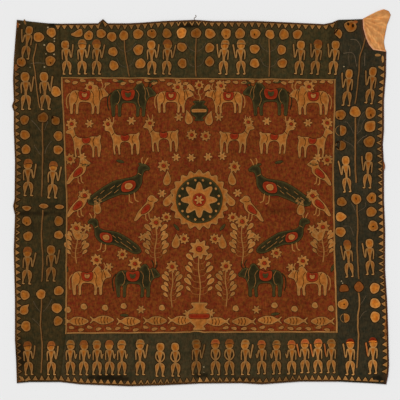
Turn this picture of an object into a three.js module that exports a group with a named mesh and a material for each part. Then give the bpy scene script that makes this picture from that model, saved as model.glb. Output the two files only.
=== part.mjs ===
// A square appliqued cotton cloth, lying flat and face up. A field cloth has four border strips
// seamed round it, a thin piping over the field's seams, a toothed edging sewn inside each outer edge
// and standing figures cut from cotton on the borders. At one corner the face cloth is lost, and the
// lining shows there as a creased flap.
// Sizes are in millimetres: X runs across the cloth, Y up it and Z out of its face.
// Places on the cloth are measured from a point near its middle.

import * as THREE from "three";

// Cloth, and the gap between pieces that touch on the real thing
const CLOTH_THICK = 1.8;
const PIECE_GAP = 0.3;
const HEM = { wide: 4, rise: 0.6 };
const PIPING = { wide: 5, high: 1.8, shoulder: 0.5, rounds: [0.2, 0.5, 0.8] };

// The toothed edging: a thin band with a row of separate triangular points that face the field.
const EDGING = { inset: 4.2, band: 0.9, tooth: 10.8, base: 13.4, pitch: 17.3, thick: 0.9, unevenness: 1.1 };

// The lining flap: thin cloth, a turned rim beside the face cloth, and folds that fan from one place.
const FLAP = {
  thin: 1.1,
  fold: 1.1,
  folds: 9,
  fan: { x: 418, y: 476 },
  rimTop: 2,
  rimWide: 6,
  rimHigh: 2.9,
  across: [0.06, 0.12, 0.24, 0.4, 0.55, 0.7, 0.85],
  rows: 12,
};

// Angles that set how the edging's points stray from one point, and from one strip, to the next
const STRAY = { point: 12.9, seed: 4.1 };

// Storage creases, as soft ridges that fade out at both ends
const CREASE_FADE = 22;
const CREASES = [
  { across: "y", along: "x", at: -9, rise: 1.0, foot: 14, from: -458, to: 452 },
  { across: "x", along: "y", at: -8, rise: 0.6, foot: 16, from: -325, to: 312 },
];

// Outer edges, from one corner to the other
const LEFT_EDGE = [
  { y: -468, x: -476 }, { y: -408, x: -478 }, { y: -356, x: -481 }, { y: -252, x: -481 },
  { y: -122, x: -484 }, { y: -31, x: -481 }, { y: -8, x: -486 }, { y: 10, x: -482 },
  { y: 112, x: -481 }, { y: 190, x: -484 }, { y: 238, x: -484 }, { y: 252, x: -489 },
  { y: 266, x: -484 }, { y: 320, x: -486 }, { y: 372, x: -484 }, { y: 411, x: -481 },
  { y: 476, x: -476 },
];
const RIGHT_EDGE = [
  { y: -471, x: 484 }, { y: -447, x: 489 }, { y: -421, x: 491 }, { y: -330, x: 489 },
  { y: -252, x: 486 }, { y: -174, x: 481 }, { y: -70, x: 481 }, { y: 8, x: 478 },
  { y: 99, x: 478 }, { y: 151, x: 475 }, { y: 190, x: 478 }, { y: 268, x: 478 },
  { y: 333, x: 483 }, { y: 393, x: 484 },
];
// The hollow that the lost corner leaves in the face cloth, from the right edge to the top edge
const LOST_CORNER = [
  { y: 393, x: 484 }, { y: 398, x: 450 }, { y: 411, x: 439 }, { y: 429, x: 431 },
  { y: 455, x: 424 }, { y: 478, x: 423 },
];
const BOTTOM_EDGE = [
  { x: -476, y: -468 }, { x: -442, y: -465 }, { x: -364, y: -465 }, { x: -312, y: -471 },
  { x: -182, y: -476 }, { x: -104, y: -474 }, { x: 0, y: -469 }, { x: 104, y: -468 },
  { x: 161, y: -471 }, { x: 260, y: -464 }, { x: 361, y: -464 }, { x: 442, y: -468 },
  { x: 484, y: -471 },
];
const TOP_EDGE = [
  { x: -476, y: 476 }, { x: -434, y: 471 }, { x: -395, y: 467 }, { x: -364, y: 466 },
  { x: -265, y: 467 }, { x: -252, y: 478 }, { x: -240, y: 467 }, { x: -187, y: 467 },
  { x: -148, y: 469 }, { x: -96, y: 473 }, { x: -13, y: 476 }, { x: 31, y: 473 },
  { x: 143, y: 473 }, { x: 195, y: 471 }, { x: 322, y: 465 }, { x: 343, y: 469 },
  { x: 359, y: 476 }, { x: 395, y: 477 }, { x: 423, y: 478 },
];

// Seams round the field. The side seams run on to the cloth's outer edges.
const LEFT_SEAM = [
  { y: -465, x: -364 }, { y: -338, x: -348 }, { y: -165, x: -347 }, { y: 8, x: -346 },
  { y: 165, x: -352 }, { y: 325, x: -359 }, { y: 466, x: -364 },
];
const RIGHT_SEAM = [
  { y: -464, x: 361 }, { y: -335, x: 356 }, { y: -150, x: 350 }, { y: 60, x: 346 },
  { y: 190, x: 348 }, { y: 320, x: 351 }, { y: 476, x: 359 },
];
const BOTTOM_SEAM = [
  { x: -348, y: -338 }, { x: -150, y: -337 }, { x: -22, y: -336 }, { x: -8, y: -330 },
  { x: 6, y: -336 }, { x: 160, y: -335 }, { x: 356, y: -335 },
];
const TOP_SEAM = [
  { x: -359, y: 325 }, { x: -120, y: 324 }, { x: 100, y: 322 }, { x: 351, y: 320 },
];

// The lining flap's free edge, from the cloth's right edge round to its top edge
const FLAP_EDGE = [
  { x: 484.6, y: 394 }, { x: 481, y: 401 }, { x: 478, y: 419 }, { x: 481, y: 437 },
  { x: 486, y: 463 }, { x: 496, y: 489 }, { x: 491, y: 499 }, { x: 478, y: 504 },
  { x: 462, y: 499 }, { x: 442, y: 489 }, { x: 425, y: 480 },
];

// Where the edging runs along each outer edge. It is lost at three of the corners.
const EDGING_RUNS = [
  { name: "edging_left", edge: LEFT_EDGE, along: "y", inward: 1, from: -446, to: 360 },
  { name: "edging_right", edge: RIGHT_EDGE, along: "y", inward: -1, from: -446, to: 358 },
  { name: "edging_bottom", edge: BOTTOM_EDGE, along: "x", inward: 1, from: -471, to: 455 },
  { name: "edging_top", edge: TOP_EDGE, along: "x", inward: -1, from: -378, to: 353 },
];

// A standing figure, cut whole: its legs from the left of the waist round to the right, its head from
// the right of the neck round to the left, and ways to hold an arm, from the waist to the shoulder
const FIGURE = { tall: 94, thick: 0.9 };
const FIGURE_LEGS = [
  { x: -3, y: 38 }, { x: -8.5, y: 34.5 }, { x: -12.4, y: 28 }, { x: -12.2, y: 18 },
  { x: -11.4, y: 0 }, { x: -4.4, y: 0 }, { x: -5, y: 2 }, { x: -7.6, y: 4 }, { x: -4.2, y: 18 },
  { x: 0.2, y: 30 }, { x: 3.8, y: 18 }, { x: 5.6, y: 0 }, { x: 12.8, y: 0 }, { x: 12.2, y: 2 },
  { x: 9.4, y: 4 }, { x: 12.4, y: 18 }, { x: 12.6, y: 28 }, { x: 8.5, y: 34.5 }, { x: 3, y: 38 },
];
const FIGURE_HEAD = [
  { x: 4, y: 69 }, { x: 9.4, y: 73 }, { x: 10.8, y: 84 }, { x: 7.5, y: 92 }, { x: 0, y: 94.5 },
  { x: -7.5, y: 92 }, { x: -10.8, y: 84 }, { x: -9.4, y: 73 }, { x: -4, y: 69 },
];
const FIGURE_ARMS = {
  hanging: [
    { x: 3.2, y: 46 }, { x: 7.4, y: 61.5 }, { x: 9.2, y: 44 }, { x: 9, y: 40 }, { x: 12, y: 40.5 },
    { x: 12.6, y: 60 }, { x: 10, y: 67 },
  ],
  staff: [
    { x: 3.2, y: 46 }, { x: 7.4, y: 61.5 }, { x: 9.6, y: 49 }, { x: 12.4, y: 44 }, { x: 15.8, y: 44 },
    { x: 22.4, y: 80 }, { x: 18.6, y: 81.5 }, { x: 14, y: 53 }, { x: 12.6, y: 60 }, { x: 10, y: 67 },
  ],
  bent: [
    { x: 3.2, y: 46 }, { x: 7.4, y: 61.5 }, { x: 9.6, y: 49 }, { x: 12.4, y: 45.5 }, { x: 17, y: 55 },
    { x: 14.8, y: 57.5 }, { x: 12.8, y: 53 }, { x: 12.6, y: 60 }, { x: 10, y: 67 },
  ],
  looped: [
    { x: 6.4, y: 40.5 }, { x: 12.2, y: 47.5 }, { x: 13, y: 55 }, { x: 11.4, y: 63 }, { x: 9, y: 67.5 },
  ],
};
// The hole that a looped arm leaves beside the waist
const LOOP_HOLE = [
  { x: 3.6, y: 45 }, { x: 9.2, y: 50 }, { x: 9.8, y: 55 }, { x: 7.4, y: 61 }, { x: 5.8, y: 56 },
];

// The figures of each border: how tall they are, how wide for that height, which way they face, how
// they hold their arms, where each stands and how far it leans, as a turn to the left
const FIGURE_ROWS = [
  { border: "left", tall: 100, faces: 1, arm: "staff", at: [{ x: -452, y: 242 }, { x: -401, y: 242 }] },
  { border: "left", tall: 96, faces: 1, arm: "staff",
    at: [{ x: -446, y: 18 }, { x: -384, y: 12, lean: -0.04 }] },
  { border: "left", tall: 96, faces: 1, arm: "staff",
    at: [{ x: -451, y: -211, lean: -0.04 }, { x: -388, y: -204, lean: -0.03 }] },
  { border: "left", tall: 87, faces: 1, arm: "staff",
    at: [{ x: -444, y: -447, lean: 0.05 }, { x: -386, y: -447 }] },
  { border: "right", tall: 98, slim: 0.87, faces: -1, arm: "staff",
    at: [{ x: 379, y: 252, lean: -0.12 }, { x: 438, y: 258, lean: -0.14 }] },
  { border: "right", tall: 96, slim: 0.87, faces: -1, arm: "staff",
    at: [{ x: 383, y: 28, lean: 0.05 }, { x: 434, y: 38, lean: -0.04 }] },
  { border: "right", tall: 96, slim: 0.87, faces: -1, arm: "staff",
    at: [{ x: 389, y: -193, lean: 0.08 }, { x: 442, y: -187 }] },
  { border: "right", tall: 94, slim: 0.92, faces: -1, arm: "staff",
    at: [{ x: 390, y: -447 }, { x: 449, y: -444 }] },
  { border: "top", tall: 90, faces: 1, arm: "staff",
    at: [{ x: -345, y: 334, lean: 0.07 }, { x: -306, y: 334 }, { x: -269, y: 334 }, { x: -125, y: 334 },
      { x: -87, y: 334, lean: -0.03 }] },
  { border: "top", tall: 90, faces: -1, arm: "staff",
    at: [{ x: 60, y: 334, lean: -0.07 }, { x: 107, y: 334 }, { x: 256, y: 334, lean: -0.1 },
      { x: 297, y: 334, lean: -0.12 }, { x: 344, y: 334, lean: -0.1 }] },
  { border: "bottom", tall: 90, faces: 1, arm: "bent", y: -447, xs: [-336, -302, -268, -235, -203] },
  { border: "bottom", tall: 92, faces: 1, arm: "staff", y: -447, xs: [-155, -10, 118] },
  { border: "bottom", tall: 90, faces: 1, arm: "looped", y: -451, xs: [-104, -63] },
  { border: "bottom", tall: 93, faces: -1, arm: "looped", y: -447, xs: [40, 77] },
  { border: "bottom", tall: 88, faces: -1, arm: "bent", y: -445, xs: [160, 199, 238] },
  { border: "bottom", tall: 88, faces: -1, arm: "staff", y: -442, xs: [273, 307, 341] },
];

// The cottons, all matt
const RUST_COTTON = cotton(0x6b3312);
const GREEN_COTTON = cotton(0x3b3019);
const TAN_COTTON = cotton(0xa87338);
const PEACH_COTTON = cotton(0xcc9055);

function cotton(color) {
  return new THREE.MeshStandardMaterial({ color, roughness: 0.95, metalness: 0 });
}

function named(name, geometry, material) {
  const mesh = new THREE.Mesh(geometry, material);
  mesh.name = name;
  return mesh;
}

// The point of an edge at a place along it, straight between the rows of its table
function pointOn(edge, along, place) {
  const found = edge.findIndex((row) => row[along] >= place);
  const next = found < 0 ? edge.length - 1 : Math.max(1, found);
  const [a, b] = [edge[next - 1], edge[next]];
  const share = (place - a[along]) / (b[along] - a[along]);
  return new THREE.Vector2(a.x, a.y).lerp(new THREE.Vector2(b.x, b.y), share);
}

// One side of a panel: the stretch of an edge between two places, moved sideways by a shift.
// Its stops are the shares of the stretch at which the edge's table has a row.
function side(edge, along, from, to, shift = 0) {
  const move = along === "x" ? new THREE.Vector2(0, shift) : new THREE.Vector2(shift, 0);
  const shares = edge.map((row) => (row[along] - from) / (to - from));
  return {
    at: (share) => pointOn(edge, along, THREE.MathUtils.lerp(from, to, share)).add(move),
    stops: shares.filter((share) => share > 0 && share < 1),
  };
}

// A side that runs through each row of a table in turn
function through(rows) {
  const last = rows.length - 1;
  return {
    at: (share) => {
      const i = Math.min(last - 1, Math.floor(share * last));
      const [a, b] = [rows[i], rows[i + 1]];
      return new THREE.Vector2(a.x, a.y).lerp(new THREE.Vector2(b.x, b.y), share * last - i);
    },
    stops: rows.map((_, i) => i / last),
  };
}

// A straight side from one point to another
function straight(start, end) {
  return { at: (share) => start.clone().lerp(end, share), stops: [] };
}

// The point of a four-sided patch, blended from its four sides
function patchPoint({ left, right, bottom, top }, u, v) {
  const across = left.at(v).lerp(right.at(v), u);
  const upward = bottom.at(u).lerp(top.at(u), v);
  const low = left.at(0).lerp(right.at(0), u);
  const high = left.at(1).lerp(right.at(1), u);
  return across.add(upward).sub(low.lerp(high, v));
}

function inOrder(shares) {
  const inside = shares.filter((share) => share > 0 && share < 1);
  const sorted = [0, ...inside, 1].sort((a, b) => a - b);
  return sorted.filter((share, i) => i === 0 || share - sorted[i - 1] > 1e-3);
}

function evenly(count) {
  return Array.from({ length: count - 1 }, (_, i) => (i + 1) / count);
}

// A closed sheet over a patch. Its underside and its face each have a height for every point.
function sheet(name, patch, { across, upward, under, face, material }) {
  const us = inOrder([...patch.bottom.stops, ...patch.top.stops, ...across]);
  const vs = inOrder([...patch.left.stops, ...patch.right.stops, ...upward]);
  const corners = [];
  for (const height of [under, face])
    for (const v of vs)
      for (const u of us) {
        const point = patchPoint(patch, u, v);
        corners.push(point.x, point.y, height(point, u, v));
      }
  const index = (layer, i, j) => (layer * vs.length + j) * us.length + i;
  const triangles = [];
  const quad = (a, b, c, d) => triangles.push(a, b, c, a, c, d);
  const [lastU, lastV] = [us.length - 1, vs.length - 1];
  for (let j = 0; j < lastV; j += 1)
    for (let i = 0; i < lastU; i += 1) {
      quad(index(1, i, j), index(1, i + 1, j), index(1, i + 1, j + 1), index(1, i, j + 1));
      quad(index(0, i, j), index(0, i, j + 1), index(0, i + 1, j + 1), index(0, i + 1, j));
    }
  for (let i = 0; i < lastU; i += 1) {
    quad(index(0, i, 0), index(0, i + 1, 0), index(1, i + 1, 0), index(1, i, 0));
    quad(index(0, i + 1, lastV), index(0, i, lastV), index(1, i, lastV), index(1, i + 1, lastV));
  }
  for (let j = 0; j < lastV; j += 1) {
    quad(index(0, 0, j + 1), index(0, 0, j), index(1, 0, j), index(1, 0, j + 1));
    quad(index(0, lastU, j), index(0, lastU, j + 1), index(1, lastU, j + 1), index(1, lastU, j));
  }
  const geometry = new THREE.BufferGeometry();
  geometry.setAttribute("position", new THREE.Float32BufferAttribute(corners, 3));
  geometry.setIndex(triangles);
  geometry.computeVertexNormals();
  return named(name, geometry, material);
}

// A sheet that is long along one axis: its low and high sides, and its start and end
function strip(name, along, { low, high, start, end }, { lengthwise, crosswise, ...rest }) {
  const patch = along === "x"
    ? { bottom: low, top: high, left: start, right: end }
    : { left: low, right: high, bottom: start, top: end };
  const [across, upward] = along === "x" ? [lengthwise, crosswise] : [crosswise, lengthwise];
  return sheet(name, patch, { across, upward, ...rest });
}

// How far the storage creases lift the cloth's face at a point
function creaseAt(point) {
  const { smoothstep } = THREE.MathUtils;
  const lifts = CREASES.map(({ across, along, at, rise, foot, from, to }) => {
    const ridge = 1 - smoothstep(Math.abs(point[across] - at), 0, foot);
    const start = smoothstep(point[along], from, from + CREASE_FADE);
    const end = 1 - smoothstep(point[along], to - CREASE_FADE, to);
    return rise * ridge * start * end;
  });
  return Math.max(...lifts);
}

// The shares of a stretch along an axis at which a crease starts, peaks or ends
function creaseStops(axis, from, to) {
  const places = CREASES.flatMap((crease) =>
    crease.across === axis
      ? [-1, -0.5, 0, 0.5, 1].map((foot) => crease.at + foot * crease.foot)
      : [crease.from, crease.from + CREASE_FADE, crease.to - CREASE_FADE, crease.to],
  );
  return places.map((place) => (place - from) / (to - from));
}

function fieldPanel() {
  const [bottomLeft, bottomRight] = [BOTTOM_SEAM[0], BOTTOM_SEAM.at(-1)];
  const [topLeft, topRight] = [TOP_SEAM[0], TOP_SEAM.at(-1)];
  const half = PIECE_GAP / 2;
  const patch = {
    left: side(LEFT_SEAM, "y", bottomLeft.y, topLeft.y, half),
    right: side(RIGHT_SEAM, "y", bottomRight.y, topRight.y, -half),
    bottom: side(BOTTOM_SEAM, "x", bottomLeft.x, bottomRight.x, half),
    top: side(TOP_SEAM, "x", topLeft.x, topRight.x, -half),
  };
  return sheet("centre_panel", patch, {
    across: creaseStops("x", bottomLeft.x, bottomRight.x),
    upward: creaseStops("y", bottomLeft.y, topLeft.y),
    under: () => 0,
    face: (point) => CLOTH_THICK + creaseAt(point),
    material: RUST_COTTON,
  });
}

// A border strip between its outer edge and its seam, with a turned hem along the outer edge.
// Inward is +1 where the field lies on the strip's high side and -1 where it lies on its low side.
function border({ name, along, outer, seam, inward, ends }) {
  const off = along === "x" ? "y" : "x";
  const [low, high] = inward > 0 ? [outer, seam] : [seam, outer];
  const [lowPlace, highPlace] = [low.at(0)[off], high.at(0)[off]];
  const hemShares = [HEM.wide / 2, HEM.wide].map((wide) => wide / (highPlace - lowPlace));
  return strip(name, along, { low, high, start: ends[0], end: ends[1] }, {
    lengthwise: creaseStops(along, outer.at(0)[along], outer.at(1)[along]),
    crosswise: [
      ...hemShares.map((share) => (inward > 0 ? share : 1 - share)),
      ...creaseStops(off, lowPlace, highPlace),
    ],
    under: () => 0,
    face: (point, u, v) => {
      const fromEdge = point.distanceTo(outer.at(along === "x" ? u : v));
      const hem = HEM.rise * (1 - THREE.MathUtils.smoothstep(fromEdge, HEM.wide / 2, HEM.wide));
      return CLOTH_THICK + Math.max(hem, creaseAt(point));
    },
    material: GREEN_COTTON,
  });
}

// The side borders run the cloth's full height.
function sideBorder(name, edge, seam, inward) {
  const [bottomEnd, topEnd] = [seam[0], seam.at(-1)];
  const seamSide = side(seam, "y", bottomEnd.y, topEnd.y, (-inward * PIECE_GAP) / 2);
  const outer = side(edge, "y", edge[0].y, edge.at(-1).y);
  const endOf = (endEdge, share) => {
    const [from, to] = [outer.at(share).x, seamSide.at(share).x].sort((a, b) => a - b);
    return side(endEdge, "x", from, to);
  };
  const ends = [endOf(BOTTOM_EDGE, 0), endOf(TOP_EDGE, 1)];
  return border({ name, along: "y", outer, seam: seamSide, inward, ends });
}

// The top and bottom borders lie between the side borders.
function endBorder(name, edge, seam, inward, corner) {
  const seamSide = side(seam, "x", seam[0].x, seam.at(-1).x, (-inward * PIECE_GAP) / 2);
  const [outerLeft, outerRight] = [LEFT_SEAM, RIGHT_SEAM].map((sideSeam) => sideSeam.at(corner));
  const outer = side(edge, "x", outerLeft.x, outerRight.x);
  const [low, high] = inward > 0 ? [outer, seamSide] : [seamSide, outer];
  const ends = [
    side(LEFT_SEAM, "y", low.at(0).y, high.at(0).y, PIECE_GAP / 2),
    side(RIGHT_SEAM, "y", low.at(1).y, high.at(1).y, -PIECE_GAP / 2),
  ];
  return border({ name, along: "x", outer, seam: seamSide, inward, ends });
}

function borders() {
  return [
    sideBorder("border_left", LEFT_EDGE, LEFT_SEAM, 1),
    sideBorder("border_right", [...RIGHT_EDGE, ...LOST_CORNER.slice(1)], RIGHT_SEAM, -1),
    endBorder("border_bottom", BOTTOM_EDGE, BOTTOM_SEAM, 1, 0),
    endBorder("border_top", TOP_EDGE, TOP_SEAM, -1, -1),
  ];
}

// The piping over a stretch of one seam: a low rounded cover that follows the seam and the creases
function piping(name, seam, along, from, to) {
  const half = PIPING.wide / 2;
  const [low, high] = [side(seam, along, from, to, -half), side(seam, along, from, to, half)];
  const ends = { start: straight(low.at(0), high.at(0)), end: straight(low.at(1), high.at(1)) };
  const seat = (point) => CLOTH_THICK + PIECE_GAP + creaseAt(point);
  return strip(name, along, { low, high, ...ends }, {
    lengthwise: creaseStops(along, from, to),
    crosswise: PIPING.rounds,
    under: seat,
    face: (point, u, v) => {
      const crown = Math.sin(Math.PI * (along === "x" ? v : u));
      return seat(point) + THREE.MathUtils.lerp(PIPING.shoulder, PIPING.high, crown);
    },
    material: TAN_COTTON,
  });
}

function pipings() {
  const clear = PIPING.wide / 2 + PIECE_GAP;
  const [bottomLeft, bottomRight] = [BOTTOM_SEAM[0], BOTTOM_SEAM.at(-1)];
  const [topLeft, topRight] = [TOP_SEAM[0], TOP_SEAM.at(-1)];
  const over = PIPING.wide / 2;
  return [
    piping("piping_left", LEFT_SEAM, "y", bottomLeft.y - over, topLeft.y + over),
    piping("piping_right", RIGHT_SEAM, "y", bottomRight.y - over, topRight.y + over),
    piping("piping_bottom", BOTTOM_SEAM, "x", bottomLeft.x + clear, bottomRight.x - clear),
    piping("piping_top", TOP_SEAM, "x", topLeft.x + clear, topRight.x - clear),
  ];
}

// How far a hand-cut point strays from its even place or size, from -1 to 1 and the same every time
function stray(i, seed) {
  return Math.sin(i * STRAY.point + seed * STRAY.seed);
}

function edging({ name, edge, along, inward, from, to }, seed) {
  const off = along === "x" ? "y" : "x";
  const inset = (place, depth) => {
    const point = pointOn(edge, along, place);
    point[off] += inward * depth;
    return point;
  };
  const root = EDGING.inset + EDGING.band;
  const teeth = Math.round((to - from) / EDGING.pitch);
  const pitch = (to - from) / teeth;
  const outline = [inset(from, EDGING.inset)];
  for (let i = 0; i < teeth; i += 1) {
    const middle = from + (i + 0.5) * pitch;
    const tip = middle + EDGING.unevenness * stray(i, seed);
    outline.push(inset(middle - EDGING.base / 2, root));
    outline.push(inset(tip, root + EDGING.tooth + EDGING.unevenness * stray(i, seed + 1)));
    outline.push(inset(middle + EDGING.base / 2, root));
  }
  outline.push(inset(to, EDGING.inset));
  const between = edge.filter((row) => row[along] > from && row[along] < to);
  outline.push(...between.reverse().map((row) => inset(row[along], EDGING.inset)));
  const geometry = new THREE.ExtrudeGeometry(new THREE.Shape(outline), {
    depth: EDGING.thick,
    bevelEnabled: false,
  });
  const mesh = named(name, geometry, TAN_COTTON);
  mesh.position.z = CLOTH_THICK + PIECE_GAP;
  return mesh;
}

// The lining flap: a turned rim beside the face cloth, then thin cloth with fanned folds
function liningFlap() {
  const inner = LOST_CORNER.map(({ x, y }) => ({ x: x + PIECE_GAP, y: y + PIECE_GAP }));
  const patch = { left: through(inner), right: through(FLAP_EDGE) };
  patch.bottom = straight(patch.left.at(0), patch.right.at(0));
  patch.top = straight(patch.left.at(1), patch.right.at(1));
  return sheet("lining_flap", patch, {
    across: FLAP.across,
    upward: evenly(FLAP.rows),
    under: () => 0,
    face: (point, u, v) => {
      const turn = Math.atan2(point.y - FLAP.fan.y, point.x - FLAP.fan.x);
      const fold = FLAP.fold * Math.sin(turn * FLAP.folds) ** 2;
      const fromRim = point.distanceTo(patch.left.at(v));
      const rim = 1 - THREE.MathUtils.smoothstep(fromRim, FLAP.rimTop, FLAP.rimWide);
      return THREE.MathUtils.lerp(FLAP.thin + fold, FLAP.rimHigh, rim);
    },
    material: PEACH_COTTON,
  });
}

// The flat outline of a figure. Its other arm hangs, but looped arms come in pairs.
function figureShape(arm) {
  const mirrored = (rows) => rows.map(({ x, y }) => ({ x: -x, y })).reverse();
  const otherArm = arm === "looped" ? FIGURE_ARMS.looped : FIGURE_ARMS.hanging;
  const points = (rows) => rows.map(({ x, y }) => new THREE.Vector2(x, y));
  const outline = [...FIGURE_LEGS, ...FIGURE_ARMS[arm], ...FIGURE_HEAD, ...mirrored(otherArm)];
  const shape = new THREE.Shape(points(outline));
  if (arm === "looped")
    shape.holes = [LOOP_HOLE, mirrored(LOOP_HOLE)].map((hole) => new THREE.Path(points(hole)));
  return shape;
}

function figures() {
  const counts = {};
  return FIGURE_ROWS.flatMap(({ border: onBorder, tall, slim = 1, faces, arm, at, y, xs }) => {
    const geometry = new THREE.ExtrudeGeometry(figureShape(arm), {
      depth: FIGURE.thick,
      bevelEnabled: false,
    });
    return (at ?? xs.map((x) => ({ x, y }))).map((place) => {
      counts[onBorder] = (counts[onBorder] ?? 0) + 1;
      const mesh = named(`figure_${onBorder}_${counts[onBorder]}`, geometry, TAN_COTTON);
      mesh.position.set(place.x, place.y, CLOTH_THICK + PIECE_GAP);
      mesh.rotation.z = place.lean ?? 0;
      mesh.scale.set((faces * slim * tall) / FIGURE.tall, tall / FIGURE.tall, 1);
      return mesh;
    });
  });
}

const cloth = new THREE.Group();
cloth.add(fieldPanel(), ...borders(), ...pipings());
cloth.add(...EDGING_RUNS.map(edging), liningFlap(), ...figures());

// The finished group has its origin under the middle of the whole cloth.
const middle = new THREE.Box3().setFromObject(cloth).getCenter(new THREE.Vector3());
cloth.position.set(-middle.x, -middle.y, 0);

const shrineCloth = new THREE.Group();
shrineCloth.add(cloth);

export default shrineCloth;
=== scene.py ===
# %% [markdown]
# # An appliqued shrine cloth, lying flat
# A square cotton cloth about a metre across: a rust field, four dark borders, and cut pieces of tan
# cotton sewn on top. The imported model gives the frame: every piece made here lies where it says.

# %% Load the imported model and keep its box
import math

import bpy
import numpy as np
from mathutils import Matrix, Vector
from mathutils.geometry import delaunay_2d_cdt


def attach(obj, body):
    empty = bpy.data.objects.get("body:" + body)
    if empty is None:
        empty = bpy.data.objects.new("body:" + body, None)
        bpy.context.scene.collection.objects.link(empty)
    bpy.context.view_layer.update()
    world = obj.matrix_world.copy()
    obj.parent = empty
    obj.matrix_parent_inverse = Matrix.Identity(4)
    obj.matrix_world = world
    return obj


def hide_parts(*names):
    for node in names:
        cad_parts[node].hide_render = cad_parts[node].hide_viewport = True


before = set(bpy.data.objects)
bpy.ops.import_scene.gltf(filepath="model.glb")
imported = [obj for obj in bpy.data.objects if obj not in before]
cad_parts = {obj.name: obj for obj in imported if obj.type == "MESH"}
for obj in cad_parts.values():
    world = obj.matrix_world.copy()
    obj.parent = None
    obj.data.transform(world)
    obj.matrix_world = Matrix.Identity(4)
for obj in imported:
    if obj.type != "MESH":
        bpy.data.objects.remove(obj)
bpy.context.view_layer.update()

print("packed nodes:", len(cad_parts))

# %% [markdown]
# ## One frame for everything
# A maker measures a cloth in millimetres from a point near its middle, with X across it and Y up it.
# Blender works in metres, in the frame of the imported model, whose origin is under the middle of the
# whole outline. One function does the change, so that every table below can stay in millimetres.

# %% From places on the cloth to the shared frame
MM = 0.001
OUTLINE_MIDDLE = (3.5, 14.0)


def in_frame(points):
    """Points of the cloth, in millimetres, as metres in the shared frame"""
    moved = np.array(points, dtype=float)
    moved[:, :2] -= OUTLINE_MIDDLE
    return moved * MM


print("cloth's own origin in the frame, in metres:", in_frame([(0, 0, 0)])[0].round(4))

# %% [markdown]
# ## The camera
# The cloth was photographed square on, as a museum does it. A long lens high above gives that flat
# view with almost no perspective. The picture's sides take in 1.04 m of the floor.

# %% Place the camera straight above
VIEW_WIDE = 1040
VIEW_MIDDLE = (0.0, 7.8)
LENS, SENSOR = 100, 36

camera = bpy.data.objects.new("camera", bpy.data.cameras.new("camera"))
camera.data.lens = LENS
camera.data.sensor_width = SENSOR
bpy.context.collection.objects.link(camera)
camera_high = VIEW_WIDE * LENS / SENSOR
camera.location = in_frame([(*VIEW_MIDDLE, camera_high)])[0]
bpy.context.scene.camera = camera
print("camera above the floor, in metres:", round(camera.location.z, 3))

# %% [markdown]
# ## Colours and nodes
# The colours below are written as sRGB hex values, as a paint chart gives them. Blender's nodes want
# linear light, so one function turns them. A second one adds a node with its settings and its links.

# %% Two helpers for materials


def linear(hex_colour):
    """An sRGB hex value as the linear colour that a node takes"""
    parts = [int(hex_colour[i : i + 2], 16) / 255 for i in (1, 3, 5)]
    return [c / 12.92 if c <= 0.04045 else ((c + 0.055) / 1.055) ** 2.4 for c in parts] + [1.0]


def add_node(tree, kind, settings=None, links=None):
    """Adds a node. Settings go to its sockets or its own properties, and links run into its sockets."""
    node = tree.nodes.new(kind)
    for name, value in (settings or {}).items():
        if isinstance(name, int) or name in node.inputs:
            node.inputs[name].default_value = value
        else:
            setattr(node, name, value)
    for name, socket in (links or {}).items():
        tree.links.new(socket, node.inputs[name])
    return node


print("mid grey in linear light:", round(linear("#808080")[0], 3))

# %% [markdown]
# ## Floor and light
# The cloth lies on pale grey paper under soft light from all sides, with a little more of it from the
# upper left, so that folds and turned edges show. The paper is matt and plain.

# %% Make the paper, the soft light and the key light
PAPER = "#f2f2f2"
FLOOR_WIDE, FLOOR_GAP = 12.0, 0.0004
SKY_STRENGTH = 0.62
KEY_STRENGTH = 1.45
KEY_ANGLE = math.radians(14)
KEY_LEAN = (math.radians(-38), math.radians(-30), 0)

bpy.context.scene.view_settings.view_transform = "Standard"

paper = bpy.data.materials.new("matt_paper")
paper.use_nodes = True
paper_shader = paper.node_tree.nodes["Principled BSDF"]
paper_shader.inputs["Base Color"].default_value = linear(PAPER)
paper_shader.inputs["Roughness"].default_value = 1.0
paper_shader.inputs["Specular IOR Level"].default_value = 0.0

floor_mesh = bpy.data.meshes.new("floor")
half = FLOOR_WIDE / 2
corners = [(-half, -half, 0), (half, -half, 0), (half, half, 0), (-half, half, 0)]
floor_mesh.from_pydata(corners, [], [(0, 1, 2, 3)])
floor_mesh.materials.append(paper)
floor = bpy.data.objects.new("floor", floor_mesh)
floor.location.z = -FLOOR_GAP
bpy.context.collection.objects.link(floor)

world = bpy.data.worlds.new("soft_light")
bpy.context.scene.world = world
world.use_nodes = True
sky = world.node_tree.nodes["Background"]
sky.inputs["Color"].default_value = (1, 1, 1, 1)
sky.inputs["Strength"].default_value = SKY_STRENGTH

key = bpy.data.objects.new("key_light", bpy.data.lights.new("key_light", "SUN"))
key.data.energy = KEY_STRENGTH
key.data.angle = KEY_ANGLE
key.rotation_euler = KEY_LEAN
bpy.context.collection.objects.link(key)
print("sky", SKY_STRENGTH, "key", KEY_STRENGTH)

# %% [markdown]
# ## Old cotton
# Plain hand-woven cotton, dyed and then worn for years. It is quite matt: its fibres scatter the light,
# so roughness is near 1 and the gloss is almost nothing. The dye has faded in soft blotches of a few
# centimetres, slubs in the yarn leave short streaks along the warp, and handling leaves fine mottling.
# The threads are about 0.6 mm apart, too fine for this view, so the weave in the bump is drawn 3 mm wide.
#
# Each point of a piece carries three values that the material reads. "tone" is how light that piece of
# cloth is, "rim" is 1 on a turned edge, and the third is 1 where dirt has darkened the cloth or where shade
# is painted along a fold or in a hollow. On the lining flap, "tone" also holds the highlights painted on its
# folds.

# %% The recipe for a cotton
# Sizes in millimetres
BLOTCH, MOTTLE, WEAVE = 19, 5.5, 3.0
SLUB_THIN, SLUB_LONG = 1.8, 16
BUMP_HIGH, BUMP_STRENGTH = 0.6, 0.25
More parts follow.
